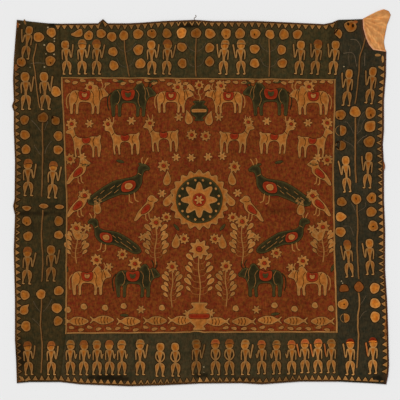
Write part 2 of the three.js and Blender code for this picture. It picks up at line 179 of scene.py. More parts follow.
# The middle of a noise's range, and the upper part that mottling takes
NOISE_LOW, NOISE_HIGH = 0.32, 0.68
MOTTLE_LOW, MOTTLE_HIGH, MOTTLE_REACH = 0.45, 0.75, 3
NOISE_ROUGH = 0.6
COTTON_ROUGH, COTTON_GLOSS = 0.95, 0.01


def spread(tree, socket, low, high, start=NOISE_LOW, end=NOISE_HIGH):
    """The middle part of a noise's range, spread from low to high"""
    settings = {"From Min": start, "From Max": end, "To Min": low, "To Max": high}
    return add_node(tree, "ShaderNodeMapRange", settings, {"Value": socket}).outputs["Result"]


def mixed(tree, share, first, second):
    """One colour mixed into another by a share. The first may be a socket or a linear colour."""
    settings, links = {"data_type": "RGBA"}, {}
    for place, value in ((0, share), (6, first), (7, second)):
        (links if isinstance(value, bpy.types.NodeSocket) else settings)[place] = value
    return add_node(tree, "ShaderNodeMix", settings, links).outputs[2]


def aged_cotton(name, dyed, faded, dark, rim, soil_and_shade, mottle=0.16, slub=0.12, blotch=BLOTCH):
    """Worn cotton: dyed to faded in blotches, dark in its mottling, with a rim colour and a colour for dirt
    and painted shade.
    """
    material = bpy.data.materials.new(name)
    material.use_nodes = True
    tree = material.node_tree
    shader = tree.nodes["Principled BSDF"]
    places = add_node(tree, "ShaderNodeTexCoord").outputs["Object"]

    def noise(size, detail, where):
        settings = {"Scale": 1 / (size * MM), "Detail": detail, "Roughness": NOISE_ROUGH}
        return add_node(tree, "ShaderNodeTexNoise", settings, {"Vector": where}).outputs["Fac"]

    def carried(value):
        return add_node(tree, "ShaderNodeAttribute", {"attribute_name": value}).outputs["Fac"]

    def worked(operation, first, second):
        return add_node(tree, "ShaderNodeMath", {"operation": operation}, {0: first, 1: second}).outputs[0]

    yarn = add_node(tree, "ShaderNodeMapping", {"Scale": (1, SLUB_THIN / SLUB_LONG, 1)}, {"Vector": places})
    blotches = spread(tree, noise(blotch, 3, places), 0, 1)
    colour = mixed(tree, blotches, linear(dyed), linear(faded))
    fine = spread(tree, noise(MOTTLE, 4, places), 0, mottle * MOTTLE_REACH, MOTTLE_LOW, MOTTLE_HIGH)
    colour = mixed(tree, fine, colour, linear(dark))
    slubs = noise(SLUB_THIN, 2, yarn.outputs["Vector"])
    streaks = spread(tree, slubs, 1 - slub, 1 + slub)
    colour = mixed(tree, carried("rim"), colour, linear(rim))
    light = worked("MULTIPLY", streaks, carried("tone"))
    lit = add_node(tree, "ShaderNodeVectorMath", {"operation": "SCALE"}, {0: colour, "Scale": light})
    # Dirt, and shade painted along folds and in hollows, darken the colour last
    colour = mixed(tree, carried("soil_and_shade"), lit.outputs["Vector"], linear(soil_and_shade))
    tree.links.new(colour, shader.inputs["Base Color"])

    relief = worked("ADD", slubs, noise(WEAVE, 1, places))
    bump = {"Strength": BUMP_STRENGTH, "Distance": BUMP_HIGH * MM}
    bumped = add_node(tree, "ShaderNodeBump", bump, {"Height": relief})
    tree.links.new(bumped.outputs["Normal"], shader.inputs["Normal"])
    shader.inputs["Roughness"].default_value = COTTON_ROUGH
    shader.inputs["Specular IOR Level"].default_value = COTTON_GLOSS
    return material


# %% The cottons of this cloth
# Each cotton: its dyed, faded, dark and rim colours, its colour for dirt and painted shade and, where they
# differ from plain cotton, how strong its mottling and its slubs are and how wide its blotches
COTTONS = {
    "rust_cotton_field": ("#6b2413", "#774017", "#3d1d0d", "#8a562c", "#1c1006", 0.26, 0.26, 9),
    "green_cotton_left": ("#2e2a18", "#44341b", "#261c0e", "#56361a", "#15100a", 0.22, 0.24, 12),
    "green_cotton_right": ("#2b2a1e", "#3e3321", "#201b12", "#4c2a1c", "#110e0a", 0.22, 0.24, 12),
    "green_cotton_top": ("#302f1c", "#48391f", "#2a1f11", "#503420", "#13100a", 0.22, 0.24, 12),
    "green_cotton_bottom": ("#33301e", "#473822", "#2b2012", "#5a3a22", "#19130a", 0.22, 0.24, 12),
    "tan_cotton": ("#814211", "#995d20", "#5a3110", "#946c3d", "#281a0c", 0.22, 0.12, 12),
    "tan_cotton_field": ("#8f501d", "#a3652c", "#6a3f19", "#a07440", "#281808", 0.22, 0.12, 12),
    "red_cotton": ("#741a0b", "#8a260f", "#4d1208", "#8c3a1c", "#1f0f07"),
    "grey_bare_thread": ("#564735", "#695641", "#3c3426", "#6e5d48", "#241c10"),
    "cap_red_cotton": ("#963f1c", "#a85026", "#6b2810", "#a8622f", "#1f0f07"),
    "rusty_cotton": ("#7c4017", "#8c4b1c", "#542b10", "#875026", "#1f0f07"),
    "dull_tan_cotton": ("#7b4f25", "#895c30", "#563819", "#8a6339", "#281a0c"),
    "dark_green_cotton": ("#252312", "#332a16", "#17150c", "#4f4524", "#110d06"),
    # Dark thread, also used for the shadow painted along the pieces' edges
    "dark_thread_and_edge_shadow": ("#241406", "#30190a", "#180e05", "#34200c", "#100a04"),
    "bare_ground_cotton": ("#a88a60", "#bba078", "#8a6a40", "#c8b088", "#6a5030"),
    "peach_cotton_lining": ("#d88b4c", "#e2a766", "#b26a34", "#eaab84", "#8a4a26", 0.16, 0.12, 11),
}
cottons = {name: aged_cotton(name, *recipe) for name, recipe in COTTONS.items()}
print("materials:", len(bpy.data.materials))

# %% [markdown]
# ## The cloth's edges and seams
# Nothing here is straight: the borders were cut and sewn by hand and have stretched since. Each table
# gives one edge or seam as places along it and how far out it lies there. They are the same tables as
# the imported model's, so that the fine cloth lands on its solids.

# %% Edges and seams, as rows of (place along, place across)
LEFT_EDGE = np.array(
    [(-468, -476), (-408, -478), (-356, -481), (-252, -481), (-122, -484), (-31, -481), (-8, -486),
     (10, -482), (112, -481), (190, -484), (238, -484), (252, -489), (266, -484), (320, -486), (372, -484),
     (411, -481), (476, -476)], float)
RIGHT_EDGE = np.array(
    [(-471, 484), (-447, 489), (-421, 491), (-330, 489), (-252, 486), (-174, 481), (-70, 481), (8, 478),
     (99, 478), (151, 475), (190, 478), (268, 478), (333, 483), (393, 484)], float)
LOST_CORNER = np.array([(393, 484), (398, 450), (411, 439), (429, 431), (455, 424), (478, 423)], float)
BOTTOM_EDGE = np.array(
    [(-476, -468), (-442, -465), (-364, -465), (-312, -471), (-182, -476), (-104, -474), (0, -469),
     (104, -468), (161, -471), (260, -464), (361, -464), (442, -468), (484, -471)], float)
TOP_EDGE = np.array(
    [(-476, 476), (-434, 471), (-395, 467), (-364, 466), (-265, 467), (-252, 478), (-240, 467),
     (-187, 467), (-148, 469), (-96, 473), (-13, 476), (31, 473), (143, 473), (195, 471), (322, 465),
     (343, 469), (359, 476), (395, 477), (423, 478)], float)
LEFT_SEAM = np.array(
    [(-465, -364), (-338, -348), (-165, -347), (8, -346), (165, -352), (325, -359), (466, -364)], float)
RIGHT_SEAM = np.array(
    [(-464, 361), (-335, 356), (-150, 350), (60, 346), (190, 348), (320, 351), (476, 359)], float)
BOTTOM_SEAM = np.array(
    [(-348, -338), (-150, -337), (-22, -336), (-8, -330), (6, -336), (160, -335), (356, -335)], float)
TOP_SEAM = np.array([(-359, 325), (-120, 324), (100, 322), (351, 320)], float)


def run(edge, along, start, end):
    """One side of a panel: the stretch of an edge between two places, by its share from 0 to 1"""

    def at(share):
        place = start + (end - start) * np.asarray(share, float)
        across = np.interp(place, edge[:, 0], edge[:, 1])
        return np.stack([place, across] if along == "x" else [across, place], -1)

    return at


print("left edge, from", LEFT_EDGE[0], "to", LEFT_EDGE[-1])

# %% [markdown]
# ## How the cloth lies
# An old cloth that was stored folded keeps its creases. Here one runs across the middle, pinched up
# hard at the left border and soft elsewhere, and a fainter one runs up the middle. Between them the
# cloth swells a little where sewing has drawn it up. One height function holds all of that, and every
# piece asks it where the cloth is, so nothing floats or sinks.

# %% Height of the cloth's face
CLOTH_THICK = 1.8
HEM_WIDE, HEM_RISE = 4.0, 0.6
HEM_DROP, HEM_DROP_WIDE = 0.5, 1.0
RUBBED = 19.0
CREASE_FADE = 22
# Each crease: across (0 is x, 1 is y), at, rise, foot on its low side, foot on its high side, start, end
CREASES = [
    (1, -9, 1.0, 14, 14, -458, 452),
    (1, -9, 2.2, 7, 12, -486, -350),
    (1, -28, 1.0, 4, 9, -60, 85),
    (0, -8, 0.7, 15, 15, -325, 312),
]
# Each swell: about how wide, how high, seed. Together they are let down a little.
SWELLS = [(170, 0.30, 1.0), (74, 0.22, 2.0), (31, 0.12, 3.0)]
SWELL_DROP = 0.2


def drift(x, y, size, seed):
    """A smooth unevenness from -1 to 1 that changes over about that many millimetres"""
    turn, start = 2 * math.pi / size, seed * 12.9898
    a = np.sin(turn * (0.83 * x + 0.56 * y) + start)
    b = np.sin(turn * 1.3 * (1.07 * y - 0.47 * x) + 2.1 * start)
    c = np.sin(turn * 0.8 * (1.19 * x - 0.31 * y) + 3.7 * start)
    return (a + b + c) / 3


def smooth(value, low, high):
    """An easy step from 0 at the low value to 1 at the high one"""
    share = np.clip((value - low) / (high - low), 0, 1)
    return share * share * (3 - 2 * share)


def cloth_height(x, y):
    """Height of the cloth's face above the floor, in millimetres"""
    lifts = [np.zeros_like(x)]
    for across, at, rise, low_foot, high_foot, start, end in CREASES:
        aside, along = (y - at, x) if across else (x - at, y)
        ridge = 1 - smooth(np.where(aside < 0, -aside / low_foot, aside / high_foot), 0, 1)
        ends = smooth(along, start, start + CREASE_FADE) * (1 - smooth(along, end - CREASE_FADE, end))
        lifts.append(rise * ridge * ends)
    swell = sum(high * (1 + drift(x, y, size, seed)) / 2 for size, high, seed in SWELLS)
    return CLOTH_THICK + np.max(lifts, axis=0) + swell - SWELL_DROP


print("face height at the middle crease:", cloth_height(np.array([-420.0]), np.array([-9.0])).round(2))

# %% [markdown]
# ## Turning points and faces into a piece
# A cloth like this is many small things. Each kind is gathered in one layer, a list of points and
# faces with the tone, rim, and dirt and painted shade of each point, and the layer becomes a single mesh at
# the end.
# That keeps the file light and lets one material serve hundreds of cut pieces.

# %% A layer that gathers pieces, and the mesh that it becomes


class Layer:
    """Points, faces and point values of many pieces of one material"""

    def __init__(self):
        self.points, self.faces, self.values, self.count = [], [], [], 0

    def add(self, points, faces, tone, rim, soil_and_shade=0.0):
        size = len(points)
        self.points.append(points)
        self.faces.extend([tuple(int(i) + self.count for i in face) for face in faces])
        self.values.append(np.stack([np.broadcast_to(v, size) for v in (tone, rim, soil_and_shade)], 1))
        self.count += size


def make_piece(name, layer, material, replaces=()):
    """One mesh from a layer, riding on the cloth's only body"""
    mesh = bpy.data.meshes.new(name)
    mesh.from_pydata(in_frame(np.vstack(layer.points)).tolist(), [], layer.faces)
    values = np.vstack(layer.values)
    for column, attribute in enumerate(("tone", "rim", "soil_and_shade")):
        held = mesh.attributes.new(attribute, "FLOAT", "POINT")
        held.data.foreach_set("value", values[:, column].astype(np.float32))
    mesh.polygons.foreach_set("use_smooth", [True] * len(mesh.polygons))
    mesh.materials.append(material)
    mesh.update()
    piece = bpy.data.objects.new(name, mesh)
    bpy.context.collection.objects.link(piece)
    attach(piece, "root")
    if replaces:
        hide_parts(*replaces)
    mesh.calc_loop_triangles()
    print(f"{name}: {len(mesh.loop_triangles)} triangles")
    return piece


# %% [markdown]
# ## The field and the borders
# Each panel is one closed sheet: a face that follows the creases and swells, a flat underside and thin
# sides. A grid blended from the panel's four sides bends evenly between them, which a flat polygon
# would not. The borders' outer edges are turned under and stand a little higher.

# %% Sheets blended from four sides
SHEET_CELL = 5.0
LEAST_CELL = 0.2


def shares(length, cell, stops=()):
    """Even shares of a length, with the places of a table's own rows among them"""
    even = np.linspace(0, 1, max(2, round(length / cell)) + 1)
    wanted = np.unique(np.concatenate([even, [s for s in stops if 0 < s < 1]]))
    keep = np.concatenate([[True], np.diff(wanted) > LEAST_CELL * cell / length])
    keep[-1] = True
    return wanted[keep]


def blended(sides, us, vs):
    """Grid points between four sides, rows by v and columns by u"""
    left, right, bottom, top = sides[0](vs), sides[1](vs), sides[2](us), sides[3](us)
    u, v = us[None, :, None], vs[:, None, None]
    across = left[:, None] * (1 - u) + right[:, None] * u
    upward = bottom[None] * (1 - v) + top[None] * v
    low = left[0] * (1 - u) + right[0] * u
    high = left[-1] * (1 - u) + right[-1] * u
    return across + upward - (low * (1 - v) + high * v)


def closed_sheet(layer, grid, face, tone, rim, soil_and_shade):
    """A closed sheet over a grid, flat below, with a height and the material's values for each point"""
    rows, columns = grid.shape[:2]
    flat = grid.reshape(-1, 2)
    count = len(flat)
    points = np.vstack([np.column_stack([flat, high]) for high in (face.ravel(), np.zeros(count))])
    at = np.arange(count).reshape(rows, columns)
    a, b, c, d = at[:-1, :-1].ravel(), at[:-1, 1:].ravel(), at[1:, 1:].ravel(), at[1:, :-1].ravel()
    faces = np.vstack([np.column_stack([a, b, c, d]), np.column_stack([d, c, b, a]) + count])
    loop = np.concatenate([at[0, :-1], at[:-1, -1], at[-1, :0:-1], at[:0:-1, 0]])
    ahead = np.roll(loop, -1)
    walls = np.column_stack([loop, loop + count, ahead + count, ahead])
    layer.add(points, np.vstack([faces, walls]), *[np.tile(v.ravel(), 2) for v in (tone, rim, soil_and_shade)])


# %% Dirt, worn places and painted shade along the folds of the ground cloth
# Each stain: x, y, half its width, half its height, how dark. The long narrow ones just below the
# creases across the middle, and the two along the upright crease, are painted shade of the folds.
STAINS_AND_FOLD_SHADES = [
    (-240, -454, 60, 10, 0.9), (-205, -458, 28, 9, 0.8), (3, -448, 22, 8, 0.75), (-385, 463, 13, 8, 0.85),
    (-420, -27, 62, 6, 0.6), (12, -30, 64, 3, 0.85), (-60, -22, 30, 4, 0.4), (300, -18, 60, 5, 0.25),
    (-250, 466, 7, 12, 0.5), (470, -462, 10, 14, 0.6), (405, 300, 30, 60, 0.25), (-470, 420, 9, 60, 0.45),
    (-310, -100, 30, 60, 0.12), (210, -20, 70, 9, 0.25), (-10, 150, 8, 150, 0.16), (-10, -180, 8, 120, 0.12),
    (-464, -403, 9, 42, 0.7), (-440, -60, 26, 16, 0.35), (-372, -10, 40, 14, 0.3), (462, -455, 12, 10, 0.7),
    (-28, 461, 32, 7, 0.85), (-455, -27, 26, 7, 0.7), (-415, -28, 26, 6, 0.55), (-372, -27, 22, 6, 0.5),
    (-470, -396, 12, 40, 0.75), (-330, 462, 16, 6, 0.4), (120, -456, 40, 7, 0.5), (430, 120, 20, 60, 0.2),
    (-395, 120, 14, 70, 0.2), (-300, 345, 40, 10, 0.2), (60, 452, 60, 6, 0.3), (345, 400, 12, 60, 0.35),
]
# Where a stain starts to fade and where it ends, as shares of its size, and how uneven its edge is
STAIN_SOFT = (0.45, 1.25)
STAIN_WOBBLE, WOBBLE_WIDE = 0.35, 23


def dirt_and_fold_shade(x, y):
    """How dark the dirt and the painted shade of the folds are at each point, from 0 to 1"""
    dark = np.zeros_like(x)
    for at_x, at_y, wide, high, strength in STAINS_AND_FOLD_SHADES:
        wobble = 1 + STAIN_WOBBLE * drift(x, y, WOBBLE_WIDE, at_x * 0.01)
        away = np.hypot((x - at_x) / wide, (y - at_y) / high) * wobble
        dark = np.maximum(dark, strength * (1 - smooth(away, *STAIN_SOFT)))
    return dark


# How light the ground cloth is: each row is how much it changes, over how many millimetres, seed
GROUND_TONES = [(0.10, 130, 5.0), (0.06, 47, 6.0)]
HEM_PALE, RUBBED_PALE = 0.6, 0.28


def panel(name, sides, us, vs, hem_side, material, slot, node):
    """A ground panel. The hem side is the side whose edge is turned, or nothing for the field."""
    grid = blended(sides, us, vs)
    x, y = grid[..., 0], grid[..., 1]
    face = cloth_height(x, y)
    edge = np.zeros_like(x)
    if hem_side is not None:
        fringe = sides[hem_side](vs)[:, None] if hem_side < 2 else sides[hem_side](us)[None]
        away = np.linalg.norm(grid - fringe, axis=2)
        turned = 1 - smooth(away, HEM_WIDE / 2, HEM_WIDE)
        face = face + HEM_RISE * turned - HEM_DROP * (1 - smooth(away, 0, HEM_DROP_WIDE))
        edge = HEM_PALE * turned + RUBBED_PALE * (1 - smooth(away, HEM_WIDE, RUBBED))
    tone = 1 + sum(much * drift(x, y, size, seed) for much, size, seed in GROUND_TONES)
    layer = Layer()
    # The last values are the dirt and the shade painted along the folds
    closed_sheet(layer, grid, face, tone, edge, dirt_and_fold_shade(x, y))
    return make_piece(name, layer, cottons[material], [node])


# %% Sides and shares of the panels
# About how wide and tall the field is, how wide the side borders are, and how tall the other two
FIELD_SIZE, SIDE_WIDE, END_TALL = (708, 660), 120, 135
HEM_STOPS = np.array([HEM_DROP_WIDE, HEM_WIDE / 2, HEM_WIDE])


def stops_of(edge, start, end):
    """The places of a table's rows, as shares of a stretch"""
    return list((edge[:, 0] - start) / (end - start))


def hem_shares(size, outer_first):
    """Even shares across a border, with more of them in its hem"""
    hem = HEM_STOPS / size
    return shares(size, SHEET_CELL, list(hem if outer_first else 1 - hem))


def side_panel(side, edge, seam, outer_first):
    """A side border, which runs the cloth's full height"""
    outer, inner = run(edge, "y", edge[0, 0], edge[-1, 0]), run(seam, "y", seam[0, 0], seam[-1, 0])
    ends = []
    for end_edge, place in ((BOTTOM_EDGE, 0.0), (TOP_EDGE, 1.0)):
        low, high = sorted([outer(place)[0], inner(place)[0]])
        ends.append(run(end_edge, "x", low, high))
    sides = [outer, inner, *ends] if outer_first else [inner, outer, *ends]
    tall = edge[-1, 0] - edge[0, 0]
    us = hem_shares(SIDE_WIDE, outer_first)
    vs = shares(tall, SHEET_CELL, stops_of(edge, edge[0, 0], edge[-1, 0]))
    return panel(f"{side}_border_cloth", sides, us, vs, 0 if outer_first else 1, f"green_cotton_{side}",
                 "green_cotton", f"border_{side}")


def end_panel(side, edge, seam, outer_first, end_row):
    """A top or bottom border, which lies between the side borders"""
    left_x, right_x = LEFT_SEAM[end_row, 1], RIGHT_SEAM[end_row, 1]
    outer, inner = run(edge, "x", left_x, right_x), run(seam, "x", seam[0, 0], seam[-1, 0])
    low, high = (outer, inner) if outer_first else (inner, outer)
    ends = [run(beside, "y", low(share)[1], high(share)[1])
            for beside, share in ((LEFT_SEAM, 0.0), (RIGHT_SEAM, 1.0))]
    us = shares(right_x - left_x, SHEET_CELL, stops_of(edge, left_x, right_x))
    vs = hem_shares(END_TALL, outer_first)
    return panel(f"{side}_border_cloth", [*ends, low, high], us, vs, 2 if outer_first else 3,
                 f"green_cotton_{side}", "green_cotton", f"border_{side}")


print("stops in a hem, in millimetres:", HEM_STOPS)

# %% Cut and lay the five panels
field_sides = [run(seam, "y", BOTTOM_SEAM[row, 1], TOP_SEAM[row, 1])
               for seam, row in ((LEFT_SEAM, 0), (RIGHT_SEAM, -1))]
field_sides += [run(seam, "x", seam[0, 0], seam[-1, 0]) for seam in (BOTTOM_SEAM, TOP_SEAM)]
field_cloth = panel("field_cloth", field_sides, *[shares(size, SHEET_CELL) for size in FIELD_SIZE], None,
                    "rust_cotton_field", "rust_cotton", "centre_panel")
right_edge_whole = np.vstack([RIGHT_EDGE, LOST_CORNER[1:]])
left_cloth = side_panel("left", LEFT_EDGE, LEFT_SEAM, True)
right_cloth = side_panel("right", right_edge_whole, RIGHT_SEAM, False)
bottom_cloth = end_panel("bottom", BOTTOM_EDGE, BOTTOM_SEAM, True, 0)
top_cloth = end_panel("top", TOP_EDGE, TOP_SEAM, False, -1)

# %% [markdown]
# ## Cutting a piece of cloth
# An applied piece is cut out, its edge is turned under, and it is sewn down close to the fold. So it has
# a firm raised rim, a dip inside it and a soft middle. To get that from any outline, the outline is
# filled with triangles whose points lie in rows that follow the edge, and each point's height and
# colour come from how deep inside the edge it is. A plain extrusion would look like card.

# %% Outlines with soft corners and even steps
# How many steps a curve takes between two of its points, and a length too small to divide by
CURVE_STEPS = 6
FLAT = 1e-9


def even_steps(points, step, closed=True):
    """The same line, with points at even distances"""
    line = np.vstack([points, points[:1]]) if closed else np.asarray(points, float)
    reach = np.concatenate([[0], np.cumsum(np.linalg.norm(np.diff(line, axis=0), axis=1))])
    count = max(8 if closed else 2, round(reach[-1] / step))
    places = np.linspace(0, reach[-1], count + 1)[: count if closed else count + 1]
    return np.stack([np.interp(places, reach, line[:, k]) for k in (0, 1)], 1)


def rounded(points, step, closed=True):
    """A curve through given points that never swings wide of them"""
    p = np.array(points, float)
    before, after = np.roll(p, 1, 0), np.roll(p, -1, 0)
    if not closed:
        before[0], after[-1] = p[0], p[-1]
    gaps = np.stack([np.linalg.norm(p - before, axis=1), np.linalg.norm(after - p, axis=1)])
    reach = np.where(gaps.min(0) > 0, gaps.min(0), gaps.max(0))
    way = after - before
    pull = way / np.maximum(np.linalg.norm(way, axis=1), FLAT)[:, None] * reach[:, None]
    last = len(p) if closed else len(p) - 1
    t = np.linspace(0, 1, CURVE_STEPS + 1)[:-1][None, :, None]
    a, b = p[:last, None], np.roll(p, -1, 0)[:last, None]
    m, n = pull[:last, None], np.roll(pull, -1, 0)[:last, None]
    curve = (2 * t**3 - 3 * t**2 + 1) * a + (t**3 - 2 * t**2 + t) * m
    curve = (curve + (3 * t**2 - 2 * t**3) * b + (t**3 - t**2) * n).reshape(-1, 2)
    return even_steps(curve if closed else np.vstack([curve, p[-1:]]), step, closed)


def signed_area(loop):
    """The area inside an outline, below zero where it runs clockwise"""
    ahead = np.roll(loop, -1, 0)
    return (loop[:, 0] * ahead[:, 1] - loop[:, 1] * ahead[:, 0]).sum() / 2


def depth_inside(points, loop):
    """How far each point lies inside a closed outline, or below zero where it is outside"""
    ahead = np.roll(loop, -1, 0)
    way = ahead - loop
    from_start = points[:, None] - loop[None]
    share = np.clip((from_start * way).sum(2) / np.maximum((way**2).sum(1), FLAT), 0, 1)
    away = np.linalg.norm(from_start - share[..., None] * way, axis=2).min(1)
    y = points[:, 1:2]
    crosses = (loop[:, 1] > y) != (ahead[:, 1] > y)
    rise = np.where(way[:, 1] == 0, FLAT, way[:, 1])
    at = loop[:, 0] + (y - loop[:, 1]) * way[:, 0] / rise
    within = (crosses & (points[:, :1] < at)).sum(1) % 2 == 1
    return np.where(within, away, -away)


def outward(line, closed=True):
    """For each point of a line, the direction to its right: outward, where it is an outline"""
    way = np.roll(line, -1, 0) - np.roll(line, 1, 0) if closed else np.gradient(line, axis=0)
    return np.stack([way[:, 1], -way[:, 0]], 1) / np.maximum(np.linalg.norm(way, axis=1), FLAT)[:, None]


# %% Fill an outline with triangles
# Rows of points that follow the edge at these depths. A point that a corner brings nearer is left out.
RIM_ROWS, ROW_KEPT = (0.6, 1.4, 2.4), 0.94
# How far apart the middle's rows are, as a share of the cell, the flattest triangle that is kept, and how
# near two points are the same
CELL_ROW = 0.866
LEAST_TURN, SAME_POINT = 1e-6, 1e-4


def triangles_in(loop, inner):
    """Triangles inside an outline that use the given inner points, and the outline's places among them"""
    every = [Vector(p) for p in np.vstack([loop, inner])]
    points, _, faces, sources, *_ = delaunay_2d_cdt(every, [], [list(range(len(loop)))], 1, SAME_POINT)
    place = {source: i for i, held in enumerate(sources) for source in held}
    points = np.array([tuple(p) for p in points])
    fixed = []
    for face in faces:
        a, b, c = points[list(face)]
        turn = (b[0] - a[0]) * (c[1] - a[1]) - (b[1] - a[1]) * (c[0] - a[0])
        if abs(turn) > LEAST_TURN:
            fixed.append(tuple(face) if turn > 0 else tuple(face[::-1]))
    return points, fixed, [place[i] for i in range(len(loop))]


def cut(outline, cell):
    """A cut piece, flat: its points, their depth inside the edge, its triangles and its outline"""
    loop = outline if signed_area(outline) > 0 else outline[::-1]
    inner = []
    for row in RIM_ROWS:
        beside = loop - outward(loop) * row
        inner.append(beside[depth_inside(beside, loop) > ROW_KEPT * row])
    low, high = loop.min(0), loop.max(0)
    ys = np.arange(low[1] + cell / 2, high[1], cell * CELL_ROW)
    xs = np.arange(low[0] + cell / 2, high[0], cell)
    grid = np.array([(x + cell / 2 * (j % 2), y) for j, y in enumerate(ys) for x in xs]).reshape(-1, 2)
    if len(grid):
        inner.append(grid[depth_inside(grid, loop) > RIM_ROWS[-1] + cell / 2])
    points, faces, edge = triangles_in(loop, np.vstack(inner))
    _, under, under_edge = triangles_in(loop, np.empty((0, 2)))
    back = {place: i for i, place in enumerate(under_edge)}
    under = [tuple(back[i] for i in face[::-1]) for face in under if all(i in back for i in face)]
    depth = np.maximum(depth_inside(points, loop), 0)
    depth[edge] = 0
    return {"points": points, "depth": depth, "faces": faces, "edge": edge, "under": under, "loop": loop}


square = cut(even_steps(np.array([(0, 0), (20, 0), (20, 20), (0, 20)]), 2.0), 3.0)
print("the face of a 20 mm square has", len(square["faces"]), "triangles")

# %% [markdown]
# ## Sewing a piece down
# Placing a cut piece moves, turns or mirrors its flat points, then asks the cloth for its height under
# each of them. Hand cutting never repeats exactly, so every copy is pushed about a little by the drift
# of the place it lies in. Its edge is tucked into the ground, with painted shade at its foot, and a dark
# thread is couched round it, which also paints the shadow along the edge.

# %% Place cut pieces, cords and threads
# How high a piece stands at each depth inside its edge, and how much of its edge shows as a worn rim
RIM_DEPTHS = [0, 0.5, 1.2, 2.2, 3.2, 11]
RIM_HEIGHTS = [0.45, 0.95, 1.1, 0.75, 0.72, 0.98]
FOLD_DEPTHS, FOLD_PALE = [0, 1.4, 3.4], [0.9, 0.9, 0]
# How far hand cutting strays, and over what lengths
HAND_CUT, STRAY_LONG, STRAY_SHORT = 0.55, 41, 37
# How far an edge is tucked under the cloth, and the painted shade at its foot as a share of the piece's tone
SUNK, FOOT_SHADE = 0.15, 0.6
# A piece is puffed a little beyond this depth, and its cloth is lighter in some places than in others
PUFF, PUFF_WIDE, PUFF_DEPTH = 0.1, 9, 2
WEAR, WEAR_WIDE, WORN_LOW, WORN_MIDDLE = 0.15, 14, 0.97, 0.10
# The dark thread round a piece, which also paints the shadow along its edge: how wide, how high, its step and
# how far out it lies
THREAD_WIDE, THREAD_HIGH, THREAD_STEP, THREAD_OUT = 2.2, 0.45, 2.6, 0.45
# A cord's section: places across it and how high they are, as shares of its width and height
CORD_SECTION = [(-0.5, 0), (-0.3, 0.75), (0, 1), (0.3, 0.75), (0.5, 0)]
THIN = 2


def placed(points, at, size, turn, mirror):
    """Flat points, mirrored, sized, turned and moved to a place on the cloth. Mirror may also slim them."""
    p = np.asarray(points, float) * (mirror * size, size)
    c, s = math.cos(turn), math.sin(turn)
    p = p @ np.array([[c, s], [-s, c]]) + at
    x, y = p.T
    return p + HAND_CUT * np.stack([drift(x, y, STRAY_SHORT, 1.3), drift(x, y, STRAY_LONG, 7.7)], 1)


def couch(layer, line, wide, high, lift=0.0, closed=False, tone=1.0, rim=0.0):
    """A thread, cord or narrow strip sewn down along a line: low, rounded and closed underneath"""
    line = np.asarray(line, float)
    aside = -outward(line, closed)
    section = CORD_SECTION[::2] if wide < THIN else CORD_SECTION
    rings = []
    for across, up in section:
        p = line + aside * (across * wide)
        rings.append(np.column_stack([p, cloth_height(*p.T) + lift + (up * high if up else -SUNK)]))
    n, k = len(line), len(section)
    points = np.stack(rings, 1).reshape(-1, 3)
    steps = range(n if closed else n - 1)
    faces = [
        (i * k + j, i * k + (j + 1) % k, (i + 1) % n * k + (j + 1) % k, (i + 1) % n * k + j)
        for i in steps for j in range(k)
    ]
    if not closed:
        faces += [tuple(range(k - 1, -1, -1)), tuple((n - 1) * k + j for j in range(k))]
    layer.add(points, [face[::-1] for face in faces], np.repeat(np.broadcast_to(tone, n), k), rim)


def sew(layer, piece, at=(0, 0), size=1.0, turn=0.0, mirror=1, tone=1.0, lift=0.0, thread=None,
        rim=1.0, thread_wide=THREAD_WIDE):
    """Lays a cut piece on the cloth, tucks in its edge with painted shade at its foot and couches a dark
    thread round it that also paints the shadow along its edge
    """
    flat = placed(piece["points"], at, size, turn, mirror)
    x, y = flat.T
    ground = cloth_height(x, y) + lift
    depth = piece["depth"]
    puff = PUFF * drift(x, y, PUFF_WIDE, 2.2) * (depth > PUFF_DEPTH)
    top = np.column_stack([flat, ground + np.interp(depth, RIM_DEPTHS, RIM_HEIGHTS) + puff])
    edge = piece["edge"]
    low = np.column_stack([flat[edge], ground[edge] - SUNK])
    count, n = len(flat), len(edge)
    walls = [(edge[i], count + i, count + (i + 1) % n, edge[(i + 1) % n]) for i in range(n)]
    faces = [*piece["faces"], *[tuple(count + i for i in face) for face in piece["under"]], *walls]
    if mirror < 0:
        faces = [tuple(face)[::-1] for face in faces]
    fold = np.interp(depth, FOLD_DEPTHS, FOLD_PALE) * rim
    worn = tone * (WORN_LOW + WEAR * drift(x, y, WEAR_WIDE, 3.3) + WORN_MIDDLE * smooth(depth, 2, 6))
    # The sunk edge's points carry the painted shade at the piece's foot
    layer.add(np.vstack([top, low]), faces, np.concatenate([worn, np.full(n, tone * FOOT_SHADE)]),
              np.concatenate([fold, np.zeros(n)]))
    # The dark thread also paints the shadow along the piece's edge
    if thread is not None:
        line = even_steps(placed(piece["loop"], at, size, turn, mirror), THREAD_STEP)
        out = THREAD_OUT * thread_wide * math.copysign(1, mirror)
        couch(thread, line + outward(line) * out, thread_wide, THREAD_HIGH, lift, True)


# %% [markdown]
# ## The piping
# A bias strip of tan cotton, folded round a cord, covers the four seams of the field. Drawn up by its
# stitches it wavers and changes in width, so it is swept along each seam with a slow unevenness.

# %% Pipe the four seams
PIPING_WIDE, PIPING_HIGH, PIPING_STEP, PIPING_RIM = 5.0, 1.9, 3.0, 0.75
PIPING_WANDER, PIPING_BLOTCH = 0.7, 0.22
over = PIPING_WIDE / 2
